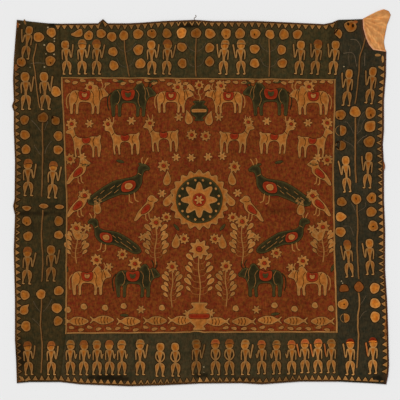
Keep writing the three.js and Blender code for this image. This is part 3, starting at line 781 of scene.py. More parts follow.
# Each length: side, seam, direction, where it starts and ends, width, how light it is at places along it
PIPINGS = [
    ("left", LEFT_SEAM, "y", BOTTOM_SEAM[0, 1] - over, TOP_SEAM[0, 1] + over, 4.6,
     [(-338, 1.0), (0, 0.9), (325, 1.0)]),
    ("right", RIGHT_SEAM, "y", BOTTOM_SEAM[-1, 1] - over, TOP_SEAM[-1, 1] + over, 5.0,
     [(-335, 1.3), (-60, 1.15), (40, 0.95), (320, 0.9)]),
    ("bottom", BOTTOM_SEAM, "x", BOTTOM_SEAM[0, 0] + over, BOTTOM_SEAM[-1, 0] - over, 4.2,
     [(-348, 1.1), (0, 1.0), (356, 1.2)]),
    ("top", TOP_SEAM, "x", TOP_SEAM[0, 0] + over, TOP_SEAM[-1, 0] - over, 4.2, [(-359, 0.85), (351, 0.9)]),
]


def pipe(side, seam, along, start, end, wide, light):
    """One length of piping, swept along its seam"""
    line = even_steps(run(seam, along, start, end)(np.linspace(0, 1, 60)), PIPING_STEP, closed=False)
    x, y = line.T
    wander = PIPING_WANDER * np.stack([drift(x, y, 60, 4.4), drift(x, y, 55, 8.8)], 1)
    tone = np.interp(y if along == "y" else x, *np.array(light).T)
    tone = tone * (1 + PIPING_BLOTCH * drift(x, y, 50, 9.1))
    layer = Layer()
    couch(layer, line + wander, wide, PIPING_HIGH, tone=tone, rim=PIPING_RIM)
    return make_piece(f"{side}_piping", layer, cottons["tan_cotton"], [f"piping_{side}"])


pipings = [pipe(*row) for row in PIPINGS]

# %% [markdown]
# ## The toothed edging
# A strip of tan cotton is snipped along one side, and the corners of each snip are folded under to
# leave a row of points. Each point is a small cut piece here, standing on a narrow band, and strays a
# little from its even place.

# %% The points' sizes, and how light they are along each side
EDGING_INSET, EDGING_BAND = 4.2, 0.9
TOOTH, TOOTH_BASE, TOOTH_PITCH, TOOTH_STRAY, TOOTH_TIP = 10.8, 13.4, 17.3, 1.1, 0.4
TOOTH_STEP, TOOTH_CELL, TOOTH_SHADE = 1.6, 2.4, 0.18
# How far a point's foot runs under the band, and how wide the foot of a worn, hollow point is left
FOOT_UNDER, FOOT_LEFT = 0.4, 3.8
BAND_WIDE, BAND_HIGH, BAND_TONE, BAND_RIM = 1.8, 0.7, 0.5, 0.3
# Each side: its edge, direction, way inward, start, end, (place, tone) rows, and where points have worn
# hollow, from and to
EDGINGS = {
    "left": (LEFT_EDGE, "y", 1, -446, 360,
             [(-446, 0.45), (-365, 0.45), (-345, 0.78), (-270, 1.0), (-120, 0.95), (-70, 0.65), (60, 0.76),
              (200, 0.76), (360, 0.64)], [(-446, -350), (-110, -20)]),
    "right": (RIGHT_EDGE, "y", -1, -446, 358,
              [(-446, 1.2), (-100, 1.25), (20, 1.12), (200, 1.1), (358, 1.0)], [(-240, -120), (40, 170)]),
    "bottom": (BOTTOM_EDGE, "x", 1, -471, 455,
               [(-471, 0.95), (-110, 1.0), (-60, 0.72), (-14, 0.72), (-8, 1.4), (14, 1.35), (22, 0.8),
                (150, 0.74), (240, 0.8), (270, 1.2), (455, 1.15)], [(-170, -60), (20, 60), (230, 262)]),
    "top": (TOP_EDGE, "x", -1, -378, 353, [(-378, 0.95), (-100, 0.88), (100, 0.98), (353, 0.9)],
            [(-60, 20)]),
}
print("lengths of edging:", len(EDGINGS))

# %% Edge the four sides


def stray(i, seed):
    """A number from -1 to 1 that seems to follow no rule"""
    return math.sin(12.9 * i + 4.1 * seed)


def edge_with_points(seed, side, edge, along, inward, start, end, tones, hollow):
    """One side's band and its row of points, and the dark threads that hold them and paint the shadow along
    their edges
    """
    layer, thread = Layer(), Layer()
    teeth = round((end - start) / TOOTH_PITCH)
    pitch = (end - start) / teeth
    across = 1 if along == "x" else 0
    root = EDGING_INSET + EDGING_BAND
    foot, half_foot, waist = root - FOOT_UNDER, TOOTH_BASE / 2, root + TOOTH / 2

    def inset(place, depth):
        point = run(edge, along, place, place)(0.0)
        point[across] += inward * depth
        return point

    band = np.array([inset(p, EDGING_INSET + EDGING_BAND / 2) for p in np.linspace(start, end, 3 * teeth)])
    band_tone = BAND_TONE + 0.1 * drift(*band.T, 60, seed + 1)
    couch(layer, band, BAND_WIDE, BAND_HIGH, tone=band_tone, rim=BAND_RIM)
    for i in range(teeth):
        middle = start + (i + 0.5) * pitch
        tip = middle + TOOTH_STRAY * stray(i, seed)
        depth = root + TOOTH + TOOTH_STRAY * stray(i, seed + 1)
        places = [(middle - half_foot, foot), (middle, foot), (middle + half_foot, foot),
                  (middle + half_foot / 2, waist), (tip + TOOTH_TIP, depth), (tip - TOOTH_TIP, depth),
                  (middle - half_foot / 2, waist)]
        if any(low < middle < high for low, high in hollow):
            left = half_foot - FOOT_LEFT
            places[1:2] = [(middle - left, foot), (tip, waist), (middle + left, foot)]
        piece = cut(even_steps(np.array([inset(*place) for place in places]), TOOTH_STEP), TOOTH_CELL)
        shade = np.interp(middle, *np.array(tones).T) * (1 + TOOTH_SHADE * stray(i, seed + 2))
        sew(layer, piece, tone=shade, thread=thread)
    piece = make_piece(f"{side}_edging", layer, cottons["tan_cotton"], [f"edging_{side}"])
    return piece, thread


# The borders' dark threads, which also paint the shadow along the pieces' edges
edgings, border_threads_and_shadows = {}, Layer()
for seed, (side, row) in enumerate(EDGINGS.items()):
    edgings[side], thread = edge_with_points(seed, side, *row)
    border_threads_and_shadows.add(np.vstack(thread.points), thread.faces, *np.vstack(thread.values).T)

# %% [markdown]
# ## The standing figures
# Each figure is cut from tan cotton in a few plain shapes: a disc for its head with a band for its cap,
# a wedge for its trunk, two thin arms, a staff and two legs that are round at the thigh. The heads are
# blank. All figures of a border face the field, so one set of shapes is enough, mirrored for the other
# side and sized for its row.

# %% Cut the figure's parts
FIGURE_TALL = 94
# Places in a figure 94 mm tall that stands on (0, 0) and lifts its staff on the +X side
FIGURE_PARTS = {
    "far leg": [(-0.4, 35.5), (-3, 36.8), (-8.5, 34.5), (-12.4, 28), (-12.2, 18), (-11, 8), (-11.4, 0.4),
                (-4.4, 0), (-4.8, 2), (-7.8, 3.6), (-6.8, 10), (-4.2, 18), (-0.6, 29)],
    "near leg": [(0.4, 35.5), (0.8, 29), (3.8, 18), (5.4, 9), (5.2, 0.4), (12.8, 0), (12.4, 2), (9.2, 3.6),
                 (10.2, 9), (12.5, 18), (12.6, 28), (8.5, 34.5), (3, 36.8)],
    "trunk": [(-8.2, 67), (-4, 69.6), (4, 69.6), (8.2, 67), (6.2, 58), (3.3, 46), (2.8, 35.8), (-2.8, 35.8),
              (-3.3, 46), (-6.2, 58)],
    "hanging arm": [(-8, 68.4), (-11.4, 66), (-12.8, 60), (-12.4, 48), (-12, 40.4), (-9.2, 40), (-9.3, 48),
                    (-9, 58), (-7.8, 64)],
    "raised arm": [(8, 68.4), (11.4, 66), (12.8, 60), (13.4, 53), (15.6, 47.5), (14.6, 44), (11.8, 44.5),
                   (9.9, 50), (9.2, 58), (7.8, 64)],
    "staff": [(13.4, 46), (16.2, 45.2), (19.6, 62), (22.8, 79), (21, 81.8), (18.6, 80.8), (15.6, 62)],
    "forearm": [(12.4, 45), (15, 46), (17.6, 55), (15.8, 58), (14, 53)],
    "looped arm": [(7.4, 68.6), (11.4, 65.5), (13.3, 57), (12.7, 48.5), (7.2, 40.8), (3.2, 38.4),
                   (2.6, 41.4), (8.4, 47.5), (10.2, 54), (9, 60), (6.6, 64.5)],
    "head": [(0, 67.4), (5.6, 69.2), (9.6, 74), (10.6, 80.5), (9.6, 87), (5, 91.5), (-5, 91.5), (-9.6, 87),
             (-10.6, 80.5), (-9.6, 74), (-5.6, 69.2)],
}
CAP_OUTLINE = [(-11, 80.4), (-5, 82.8), (5, 82.8), (11, 80.4), (10.8, 87), (6.8, 93.4), (0, 95), (-6.8, 93.4),
               (-10.8, 87)]
CAP_BROW = [(-10.4, 80.2), (-5, 82.2), (5, 82.2), (10.4, 80.2)]
PART_TONES = {"staff": 0.86, "hanging arm": 0.94, "head": 1.1}
# The parts that each way of holding the arms adds. Looped arms come in pairs.
STAFF_ARMS = ("hanging arm", "raised arm", "staff")
ARM_PARTS = {"staff": STAFF_ARMS, "red staff": STAFF_ARMS, "bent": ("hanging arm", "raised arm", "forearm"),
             "looped": ("looped arm",)}
FIGURE_STEP, FIGURE_CELL = 2.0, 2.6
figure_parts = {part: cut(rounded(points, FIGURE_STEP), FIGURE_CELL) for part, points in FIGURE_PARTS.items()}
cap_piece = cut(rounded(CAP_OUTLINE, FIGURE_STEP), FIGURE_CELL)
print("triangles in a figure's parts:", sum(len(p["faces"]) for p in figure_parts.values()))

# %% Where each figure stands
# Each row: height, way they face, arms, how slim, and its figures. Each figure: x, y, how far it leans,
# its cap and, where it differs from its neighbours, how light it is.
FIGURE_ROWS = {
    "left": [
        (100, 1, "staff", 1, [(-452, 242, 0.03, "none"), (-401, 242, 0.03, "none", 0.88)]),
        (96, 1, "staff", 1, [(-446, 18, 0, "rusty", 0.85), (-384, 12, -0.04, "rusty", 0.95)]),
        (96, 1, "staff", 1, [(-451, -211, -0.04, "rusty", 0.85), (-388, -204, -0.03, "none", 0.68)]),
        (87, 1, "staff", 1, [(-444, -447, 0.05, "rusty", 0.82), (-386, -447, 0, "rusty", 1.2)]),
    ],
    "right": [
        (98, -1, "staff", 0.87, [(379, 252, -0.12, "none", 0.95), (438, 258, -0.14, "none", 0.95)]),
        (96, -1, "staff", 0.87, [(383, 28, 0.05, "none", 1.25), (434, 38, -0.04, "none", 0.98)]),
        (96, -1, "staff", 0.87, [(389, -193, 0.08, "rusty", 0.98), (442, -187, 0, "none", 1.1)]),
        (94, -1, "staff", 0.92, [(390, -447, 0, "crimson", 1.5)]),
        (94, -1, "red staff", 0.92, [(449, -444, 0, "crimson", 1.45)]),
    ],
    "top": [
        (90, 1, "staff", 1, [(-345, 334, 0.07, "none", 1.05), (-306, 334, 0, "tan", 1.05),
                             (-269, 334, 0, "rusty", 0.88), (-125, 334, 0, "none"),
                             (-87, 334, -0.03, "rusty", 0.85)]),
        (90, -1, "staff", 1, [(60, 334, -0.07, "tan"), (107, 334, 0, "tan"), (256, 334, -0.1, "none", 1.0),
                              (297, 334, -0.12, "rusty", 0.78), (344, 334, -0.1, "none")]),
    ],
    "bottom": [
        (90, 1, "bent", 1, [(-336, -447, 0, "tan"), (-302, -447, 0, "rusty"), (-268, -447, 0, "tan"),
                            (-235, -447, 0, "rusty"), (-203, -447, 0, "tan")]),
        (92, 1, "staff", 1, [(-155, -447, 0, "tan", 1.12), (-10, -447, 0, "tan", 0.68),
                             (118, -447, 0, "tan", 1.12)]),
        (90, 1, "looped", 1, [(-104, -451, 0, "none"), (-63, -451, 0, "none")]),
        (93, -1, "looped", 1, [(40, -447, 0, "red", 0.92), (77, -447, 0, "rusty", 0.85)]),
        (88, -1, "bent", 1, [(160, -445, 0, "red"), (199, -445, 0, "tan"), (238, -445, 0, "red", 1.15)]),
        (88, -1, "red staff", 1, [(273, -442, 0, "red", 1.25), (307, -442, 0, "red", 1.3),
                                  (341, -442, 0, "tan", 1.0)]),
    ],
}
# A figure too faded and worn to be a solid of its own leans in the upper left corner
FADED_AT, FADED_TALL, FADED_LEAN, FADED_TONE, FADED_SEED = (-455, 374), 88, -0.16, 0.72, 3
print("figures:", sum(len(row[-1]) for rows in FIGURE_ROWS.values() for row in rows))

# %% Stand the figures on the borders
# How much the tone and the turn of a figure's parts change, and that of one figure from the next
PART_SHADE, PART_TURN, FIGURE_SHADE = 0.09, 0.02, 0.1
# The middles of the two pale worn soles, their points, and how wide, how high and how far up they are
SOLES, SOLE_POINTS, SOLE = (-7.9, 8.9), [(-3.4, 1.4), (0, 1.2), (3.4, 1.4)], (2.4, 0.45, 0.9)
SOLE_TONE = 1.4
CAP_LIFT = 0.45
# A cap's crimson is one tone, and the others are shares of the figure's own tone
CRIMSON_TONE, RED_SHARE, RUSTY_SHARE, TAN_SHARE, TAN_STRAY = 0.72, 0.84, 0.9, 0.86, 0.1
# The dark line over a brow, a painted shadow under the cap's edge, and the pale band of a crimson cap:
# how wide, how high, how far up they lie
BROW_SHADOW_LINE, CAP_BAND = (1.1, 0.35, 1.15), (2.8, 0.4, 1.3)
CAP_BAND_UP, CAP_BAND_TONE = 2.8, 3.2

cap_layer, crimson_layer, rusty_layer = Layer(), Layer(), Layer()


def cap_of(layer, cap, tone, seed):
    """The layer and the tone of a figure's cap"""
    if cap == "crimson":
        return crimson_layer, CRIMSON_TONE
    if cap == "red":
        return cap_layer, RED_SHARE * tone
    if cap == "rusty":
        return rusty_layer, RUSTY_SHARE * tone
    return layer, tone * (TAN_SHARE + TAN_STRAY * stray(9, seed))


def stand_figure(layer, at, tall, faces, arm, tone, cap, seed, turn, slim=1):
    """Sews a figure's parts in turn. Its cap is tan, rusty, red, crimson or none."""
    size = tall / FIGURE_TALL
    faces = faces * slim
    parts = [(part, faces) for part in ("far leg", "near leg", "trunk", *ARM_PARTS[arm])]
    if arm == "looped":
        parts.append(("looped arm", -faces))
    parts.append(("head", faces))
    for k, (part, mirror) in enumerate(parts):
        shade = tone * (1 + PART_SHADE * stray(k, seed)) * PART_TONES.get(part, 1.0)
        on = cap_layer if part == "staff" and arm == "red staff" else layer
        part_turn = turn + PART_TURN * stray(k + 3, seed)
        sew(on, figure_parts[part], at, size, part_turn, mirror, shade, thread=border_threads_and_shadows)
    for middle in SOLES:
        sole = placed([(middle + x, y) for x, y in SOLE_POINTS], at, size, turn, faces)
        couch(layer, even_steps(sole, FIGURE_STEP, closed=False), *SOLE, tone=SOLE_TONE * tone, rim=1.0)
    if cap != "none":
        on, cap_tone = cap_of(layer, cap, tone, seed)
        sew(on, cap_piece, at, size, turn, faces, cap_tone, CAP_LIFT)
        brow = rounded(placed(CAP_BROW, at, size, turn, faces), FIGURE_STEP, closed=False)
        if cap == "crimson":
            couch(layer, brow + (0, CAP_BAND_UP), *CAP_BAND, tone=CAP_BAND_TONE)
        elif cap == "red" or stray(5, seed) > 0:
            # A dark line along the brow paints the shadow under the cap's edge
            couch(border_threads_and_shadows, brow, *BROW_SHADOW_LINE)


for border, rows in FIGURE_ROWS.items():
    layer, number = Layer(), 0
    for tall, faces, arm, slim, places in rows:
        for x, y, lean, cap, *light in places:
            number += 1
            tone = light[0] if light else 1.0 + FIGURE_SHADE * stray(number, len(border))
            stand_figure(layer, (x, y), tall, faces, arm, tone, cap, x * 0.1, lean, slim)
    if border == "left":
        stand_figure(layer, FADED_AT, FADED_TALL, -1, "staff", FADED_TONE, "none", FADED_SEED, FADED_LEAN)
    nodes = [f"figure_{border}_{i + 1}" for i in range(number)]
    make_piece(f"{border}_figures", layer, cottons["tan_cotton"], nodes)

# %% [markdown]
# ## Discs, trunks and bare branches
# Between the figures stand trees: a thin trunk of rolled cotton with round leaves beside it. The leaves
# are discs cut by eye, some squarish or pointed, and a few have lost part of their cloth. The branches
# are single dull threads and have mostly worn away.

# %% Round leaves of the borders
# Each disc: x, y, half its width, tone. A disc's own wobble comes from its number.
DISCS = [
    # left border
    (-419, 431, 13, 1.1), (-386, 443, 12, 1.2), (-388, 403, 12, 1.15), (-389, 369, 13, 0.85),
    (-464, 366, 12, 0.75), (-374, 289, 13, 1.35), (-456, 216, 12, 0.72), (-408, 222, 13, 0.55),
    (-455, 177, 12, 0.95), (-368, 174, 12, 0.92), (-452, 139, 12, 0.95), (-369, 138, 12, 1.03),
    (-450, -47, 12, 0.88), (-367, -47, 12, 0.75), (-447, -86, 12, 0.9), (-367, -83, 11, 1.02),
    (-455, -239, 12, 1.12), (-413, -237, 12, 1.22), (-367, -228, 12, 1.08), (-372, -273, 13, 1.15),
    (-452, -320, 13, 1.08), (-369, -307, 12, 0.85),
    # right border
    (365, 229, 13.5, 0.88), (403, 237, 14, 1.25), (443, 234, 14, 1.02), (440, 159, 14, 0.8),
    (368, 3, 12, 0.8), (406, 10, 13, 1.15), (446, 13, 13, 1.05), (445, -23, 13, 0.98), (365, -75, 13, 1.2),
    (450, -60, 13, 1.15), (454, -221, 13, 1.6), (372, -263, 13, 1.35), (455, -261, 13, 1.85),
    (455, -296, 13, 1.8),
    # top border
    (-289, 435, 12, 1.12), (-257, 440, 12, 0.95), (-229, 432, 12, 0.97), (-198, 435, 12, 0.97),
    (-161, 439, 13, 0.97), (-125, 440, 12, 0.86), (-86, 440, 12, 0.8), (-48, 442, 13, 1.85),
    (-10, 441, 13, 0.78), (26, 440, 13, 1.18), (68, 440, 13, 1.15), (104, 440, 13, 1.0), (143, 440, 13, 1.08),
    (182, 438, 12, 1.2), (218, 438, 13, 1.03), (253, 438, 12, 1.02), (-226, 393, 12, 1.02),
    (-224, 357, 12, 1.05), (-160, 398, 13, 1.05), (-155, 362, 13, 1.15), (-47, 405, 12, 0.9),
    (-46, 363, 12, 0.88), (25, 403, 12, 0.97), (142, 400, 12, 1.18), (142, 363, 12, 1.2),
    (212, 398, 12, 1.12), (214, 363, 12, 1.02),
]
print("round leaves:", len(DISCS))

# %% Leaves that are pointed, worn or squashed
# Each by its own points round its middle
FAN_LEAF = [(-15, -1), (-6, 4), (4, 10), (13, 11), (15, 2), (12, -7), (2, -9), (-6, -7)]
EARED = [(-11, -4), (-8, -11), (0, -13), (8, -10), (11, -3), (10, 5), (13, 13), (7, 12), (0, 11), (-8, 7)]
SIDE_POINT = [(-12, 0), (-9, -9), (0, -12), (8, -8), (16, 0), (8, 9), (0, 12), (-9, 9)]
ARCH = [(-11, -8), (11, -8), (12, 0), (7, 9), (0, 11), (-7, 9), (-12, 0)]
WORN_HALF = [(-4, -13), (4, -13), (11, -7), (13, 1), (11, 9), (4, 13), (-4, 13)]
ALMOND = [(-12, 0), (-8, -9), (0, -13), (8, -9), (12, 0), (7, 9), (0, 14), (-7, 9)]
SHARD = [(-9, 6), (-4, 12), (4, 10), (9, 3), (8, -6), (2, -13), (-3, -8), (-10, -1)]
# Each odd leaf: shape, x, y, size, turn, cotton, tone
ODD_LEAVES = [
    (FAN_LEAF, -320, 440, 1.0, 0.1, "tan", 1.05), (EARED, -457, -277, 1.0, 0.0, "tan", 1.15),
    (SIDE_POINT, 365, -36, 1.0, 0.0, "tan", 1.65), (ARCH, 374, -222, 0.95, 0.1, "rusty", 0.8),
    (ALMOND, 413, -218, 1.0, 0.0, "rusty", 0.95), (WORN_HALF, 368, 188, 0.95, 0.0, "tan", 0.95),
    (WORN_HALF, 367, 149, 0.9, -0.1, "tan", 0.62), (WORN_HALF, 378, -299, 0.85, 0.1, "tan", 1.1),
    (ALMOND, 25, 367, 1.0, 0.0, "tan", 0.82), (ALMOND, -375, 214, 0.95, 0.6, "tan", 0.62),
    (SHARD, 360, 440, 1.0, 0.1, "tan", 1.0), (ALMOND, 391, 459, 1.25, 1.2, "tan", 0.95),
    (ALMOND, 442, 199, 1.22, -0.7, "tan", 1.15),
]
# Bare stitching that still marks a lost half: middle x and y, its half size
LOST_HALVES = [(365, 188, 13), (365, 149, 12), (376, -299, 11)]
# Holes worn through the leaves: x, y, half width, half height, turn
HOLES = [
    (385, 465, 3.2, 4.4, 0.2), (397, 460, 3.0, 4.8, -0.2), (354, 446, 2.0, 9, -0.7), (-288, 434, 2.0, 2.0, 0),
    (405, 11, 1.5, 3.4, 0.2), (446, 13, 1.5, 4.5, -0.4), (450, -61, 2.4, 2.2, 0), (374, -263, 2.2, 1.8, 0),
    (357, 158, 2.0, 5.5, -0.9), (356, 144, 2.0, 5.0, 0.9), (-383, 222, 3.6, 2.6, 0.6),
    (-464, 371, 1.4, 1.4, 0), (360, 222, 2.0, 3.0, 0.3), (444, 228, 1.6, 4.0, 0.2),
    (-450, -52, 2.0, 1.6, 0.3), (142, 438, 1.6, 3.0, 0.4), (-125, 446, 1.8, 2.6, 0.5),
    (68, 434, 1.5, 2.5, 0.2), (-388, 364, 2.6, 1.8, 0.5),
]
# Scraps of cloth: cotton, x, y, half width, half height, turn, tone
SCRAPS = [
    ("tan", 462, 384, 8, 3.6, 0.0, 1.15), ("tan", 475, 374, 3.0, 9, 0.1, 1.4),
    ("tan", 468, 352, 6, 3, -0.5, 1.0), ("tan", -463, -456, 9, 3.2, -0.7, 0.85),
    ("red", -466, -461, 6, 2.6, 0.2, 0.5), ("tan", -449, -459, 6, 3, 0.6, 1.0),
    ("tan", 457, -462, 8, 2.4, -0.1, 0.9), ("tan", 473, -463, 5, 2.2, 0.2, 0.7),
    ("red", -473, 462, 3, 7, 0.1, 0.6), ("red", 404, 470, 6, 4, 0.2, 0.7),
    ("red", 478, 96, 2.4, 12, 0, 0.55), ("red", -478, 352, 4, 9, 0, 0.6), ("red", 482, -330, 2.4, 30, 0, 0.5),
    ("tan", -455, 470, 3, 7, 0.3, 0.7),
]
print("odd leaves:", len(ODD_LEAVES), "holes:", len(HOLES), "scraps:", len(SCRAPS))

# %% Trunks, bare branches and a loose thread
# Each trunk: how wide, how light, and its points
TRUNKS = [
    (3.4, 0.95, [(-425, 414), (-429, 390), (-433, 371), (-430, 350), (-427, 320), (-420, 268), (-416, 246)]),
    (4.4, 0.68, [(-409, 209), (-409, 160), (-409, 100), (-411, 16)]),
    (4.2, 0.68, [(-408, -18), (-412, -90), (-408, -150), (-411, -205)]),
    (4.0, 0.8, [(-411, -249), (-414, -320), (-410, -380), (-413, -442)]),
    (3.6, 0.72, [(430, 430), (428, 424), (421, 398), (414, 375), (413, 346), (409, 300), (403, 257)]),
    (4.8, 0.85, [(404, 222), (404, 160), (403, 105), (406, 52)]),
    (4.2, 0.8, [(408, -4), (410, -60), (408, -120), (413, -198)]),
    (4.4, 1.25, [(412, -233), (415, -262), (411, -290), (410, -320), (412, -345), (410, -380), (408, -429)]),
    (3.8, 0.72, [(-197, 424), (-193, 380), (-184, 328)]), (3.8, 0.72, [(-10, 428), (-12, 380), (-10, 328)]),
    (3.8, 0.78, [(179, 426), (181, 380), (179, 328)]),
]
# Bare threads that branch from a trunk, or that are all that is left of a worn piece: how light, points
BRANCHES = [
    (1.0, [(399, 180), (392, 196), (382, 210), (373, 210)]),
    (1.0, [(407, 179), (419, 191), (422, 206), (430, 219)]),
    (0.9, [(409, 183), (412, 210), (418, 226), (428, 238)]), (1.2, [(408, 154), (420, 168), (434, 176)]),
    (1.1, [(400, 143), (394, 151), (382, 158), (371, 164)]), (1.0, [(404, -23), (398, -8), (393, -1)]),
    (1.0, [(411, -23), (429, -10), (430, 1)]), (1.0, [(372, -60), (390, -62), (400, -86)]),
    (1.5, [(390, 425), (405, 424), (415, 412), (418, 398)]),
    (1.4, [(372, 389), (397, 389), (405, 365), (407, 354)]),
    (1.5, [(429, 391), (428, 374), (428, 356)]), (0.9, [(389, 400), (386, 380), (388, 358)]),
    (1.2, [(-438, 215), (-425, 202), (-413, 185)]), (1.0, [(-394, 224), (-397, 208), (-404, 189)]),
    (1.0, [(-431, 150), (-420, 133), (-414, 124)]), (1.0, [(-386, 161), (-397, 146), (-403, 128)]),
    (1.4, [(-440, 362), (-425, 364), (-400, 363)]), (1.0, [(-433, -255), (-424, -272), (-414, -284)]),
    (1.0, [(-385, -250), (-395, -268), (-407, -282)]), (0.9, [(-436, -300), (-424, -310), (-414, -322)]),
    (1.0, [(432, -240), (424, -254), (415, -266)]), (1.0, [(434, -280), (424, -286), (414, -302)]),
    *[(0.9, [(x, low), (x + way * 15, low + 8), (x + way * wide, low + 24)])
      for x in (-193, -11, 180) for way in (-1, 1) for low, wide in ((352, 23), (392, 27))],
]
# A thread that has come loose at the top edge and lies on the floor beyond it
LOOSE_THREAD = [(-13, 470), (-15, 480), (-10, 485), (-12, 489)]
print("trunks:", len(TRUNKS), "branches:", len(BRANCHES))

# %% Outlines drawn by rule
# Lens-shaped leaves under the middle crease: x, y, half width, half height above and below, tone
LENSES = [(-450, -11, 12.5, 4, 9.5, 0.9), (-406, -8, 13.2, 6.5, 6.5, 0.95), (-365, -10, 12.6, 6, 6.5, 0.95)]
# How far an eye-cut disc strays from round: waves in its edge, how high, how its seed turns them
DISC_WAVES = [(2, 0.05, 1), (3, 0.045, 2.3), (5, 0.03, 1)]
FINE_TURN = np.linspace(0, 2 * math.pi, 40, endpoint=False)


def lens(wide, above, below):
    """A leaf with a point at each end"""
    bow = np.sin(FINE_TURN) * np.abs(np.sin(FINE_TURN)) ** 0.5
    return even_steps(np.stack([wide * np.cos(FINE_TURN), np.where(bow > 0, above, below) * bow], 1), 2.0)


def wobbly_disc(wide, high, seed, step=2.2):
    """A disc as it is cut by eye: a little square, a little pointed, never quite round"""
    radius = 1 + sum(much * np.cos(waves * FINE_TURN + by * seed) for waves, much, by in DISC_WAVES)
    points = [wide * radius * np.cos(FINE_TURN), high * radius * np.sin(FINE_TURN)]
    return even_steps(np.stack(points, 1), step)


print("points round a 26 mm disc:", len(wobbly_disc(13, 13, 0)))

# %% Sew the leaves, scraps and holes
LEAF_RIM, LEAF_CELL, DISC_CELL = 0.8, 3.0, 3.2
SCRAP_CELL, HOLE_CELL, HOLE_LIFT = 2.4, 2.0, 0.75
# A round leaf is a little taller than wide, and its number turns its wobble
DISC_HIGH, DISC_TURN = 1.02, 1.7
# The stitching of a lost half runs down its left side: from, to, points, then how wide and how high
LOST_FROM, LOST_TO, LOST_POINTS, LOST_THREAD, LOST_TONE = 0.55, 1.45, 16, (1.6, 0.5), 1.15

leaves, trunks, branches = Layer(), Layer(), Layer()
for number, (x, y, wide, tone) in enumerate(DISCS):
    piece = cut(wobbly_disc(wide, wide * DISC_HIGH, number * DISC_TURN), DISC_CELL)
    sew(leaves, piece, (x, y), tone=tone, thread=border_threads_and_shadows, rim=LEAF_RIM)
for shape, x, y, size, turn, cotton, tone in ODD_LEAVES:
    on = rusty_layer if cotton == "rusty" else leaves
    piece = cut(rounded(shape, FIGURE_STEP), LEAF_CELL)
    sew(on, piece, (x, y), size, turn, tone=tone, thread=border_threads_and_shadows, rim=LEAF_RIM)
for x, y, wide, above, below, tone in LENSES:
    piece = cut(lens(wide, above, below), LEAF_CELL)
    sew(leaves, piece, (x, y), tone=tone, thread=border_threads_and_shadows, rim=LEAF_RIM)
for x, y, wide in LOST_HALVES:
    turn = np.linspace(LOST_FROM * math.pi, LOST_TO * math.pi, LOST_POINTS)
    line = np.stack([x + wide * np.cos(turn), y + wide * np.sin(turn)], 1)
    couch(leaves, line, *LOST_THREAD, tone=LOST_TONE, rim=LEAF_RIM)
for cotton, x, y, wide, high, turn, tone in SCRAPS:
    piece = cut(wobbly_disc(wide, high, x, 1.6), SCRAP_CELL)
    sew(cap_layer if cotton == "red" else leaves, piece, (x, y), turn=turn, tone=tone)
for x, y, wide, high, turn in HOLES:
    piece = cut(wobbly_disc(wide, high, x, 1.2), HOLE_CELL)
    sew(border_threads_and_shadows, piece, (x, y), turn=turn, lift=HOLE_LIFT, rim=0)
make_piece("border_leaves", leaves, cottons["tan_cotton"])

# %% Couch the trunks and branches, and paint each trunk's shadow beside it
STEM_STEP, TRUNK_HIGH, TRUNK_RIM, TRUNK_WANDER, TRUNK_SHADE = 3.0, 0.9, 0.45, 0.8, 0.14
# How wide the painted shadow beside a trunk is, and how wide and high the branches are
TRUNK_SHADOW_WIDE, BRANCH_WIDE, BRANCH_HIGH = 1.6, 1.7, 0.4
# The loose thread comes down to the floor between these places along Y, and ends just above it
LOOSE_FROM, LOOSE_TO, LOOSE_LOW, LOOSE_WIDE, LOOSE_TONE = 474, 480, 0.2, 1.5, 1.3

for number, (wide, tone, points) in enumerate(TRUNKS):
    line = rounded(points, STEM_STEP, closed=False)
    line[:, 0] += TRUNK_WANDER * drift(*line.T, 45, number)
    shade = tone * (1 + TRUNK_SHADE * drift(*line.T, 40, 1.0))
    couch(trunks, line, wide, TRUNK_HIGH, tone=shade, rim=TRUNK_RIM)
    # A dark line on each trunk's right side, away from the key light, paints its shadow
    couch(border_threads_and_shadows, line + ((wide + TRUNK_SHADOW_WIDE) / 2, 0), TRUNK_SHADOW_WIDE, BRANCH_HIGH)
for tone, points in BRANCHES:
    couch(branches, rounded(points, STEM_STEP, closed=False), BRANCH_WIDE, BRANCH_HIGH, tone=tone)
loose = rounded(LOOSE_THREAD, 2.0, closed=False)
drop = smooth(loose[:, 1], LOOSE_FROM, LOOSE_TO) * (LOOSE_LOW - cloth_height(*loose.T))
couch(branches, loose, LOOSE_WIDE, BRANCH_HIGH, drop, tone=LOOSE_TONE)
make_piece("border_trunks", trunks, cottons["dull_tan_cotton"])
make_piece("border_branches", branches, cottons["grey_bare_thread"])

# %% [markdown]
# ## The field's own design
# The field carries rows of ordinary motifs, mirrored about the middle: humped bulls under red cloths,
# deer, birds, fish, flowering trees, rosettes, stars and paisleys, round a dark medallion. Each motif
# is a short list of parts. A part is a cut piece or a thread, with the cotton it is made from and the
# layer it lies in, so a red cloth can be sewn over a bull's back.

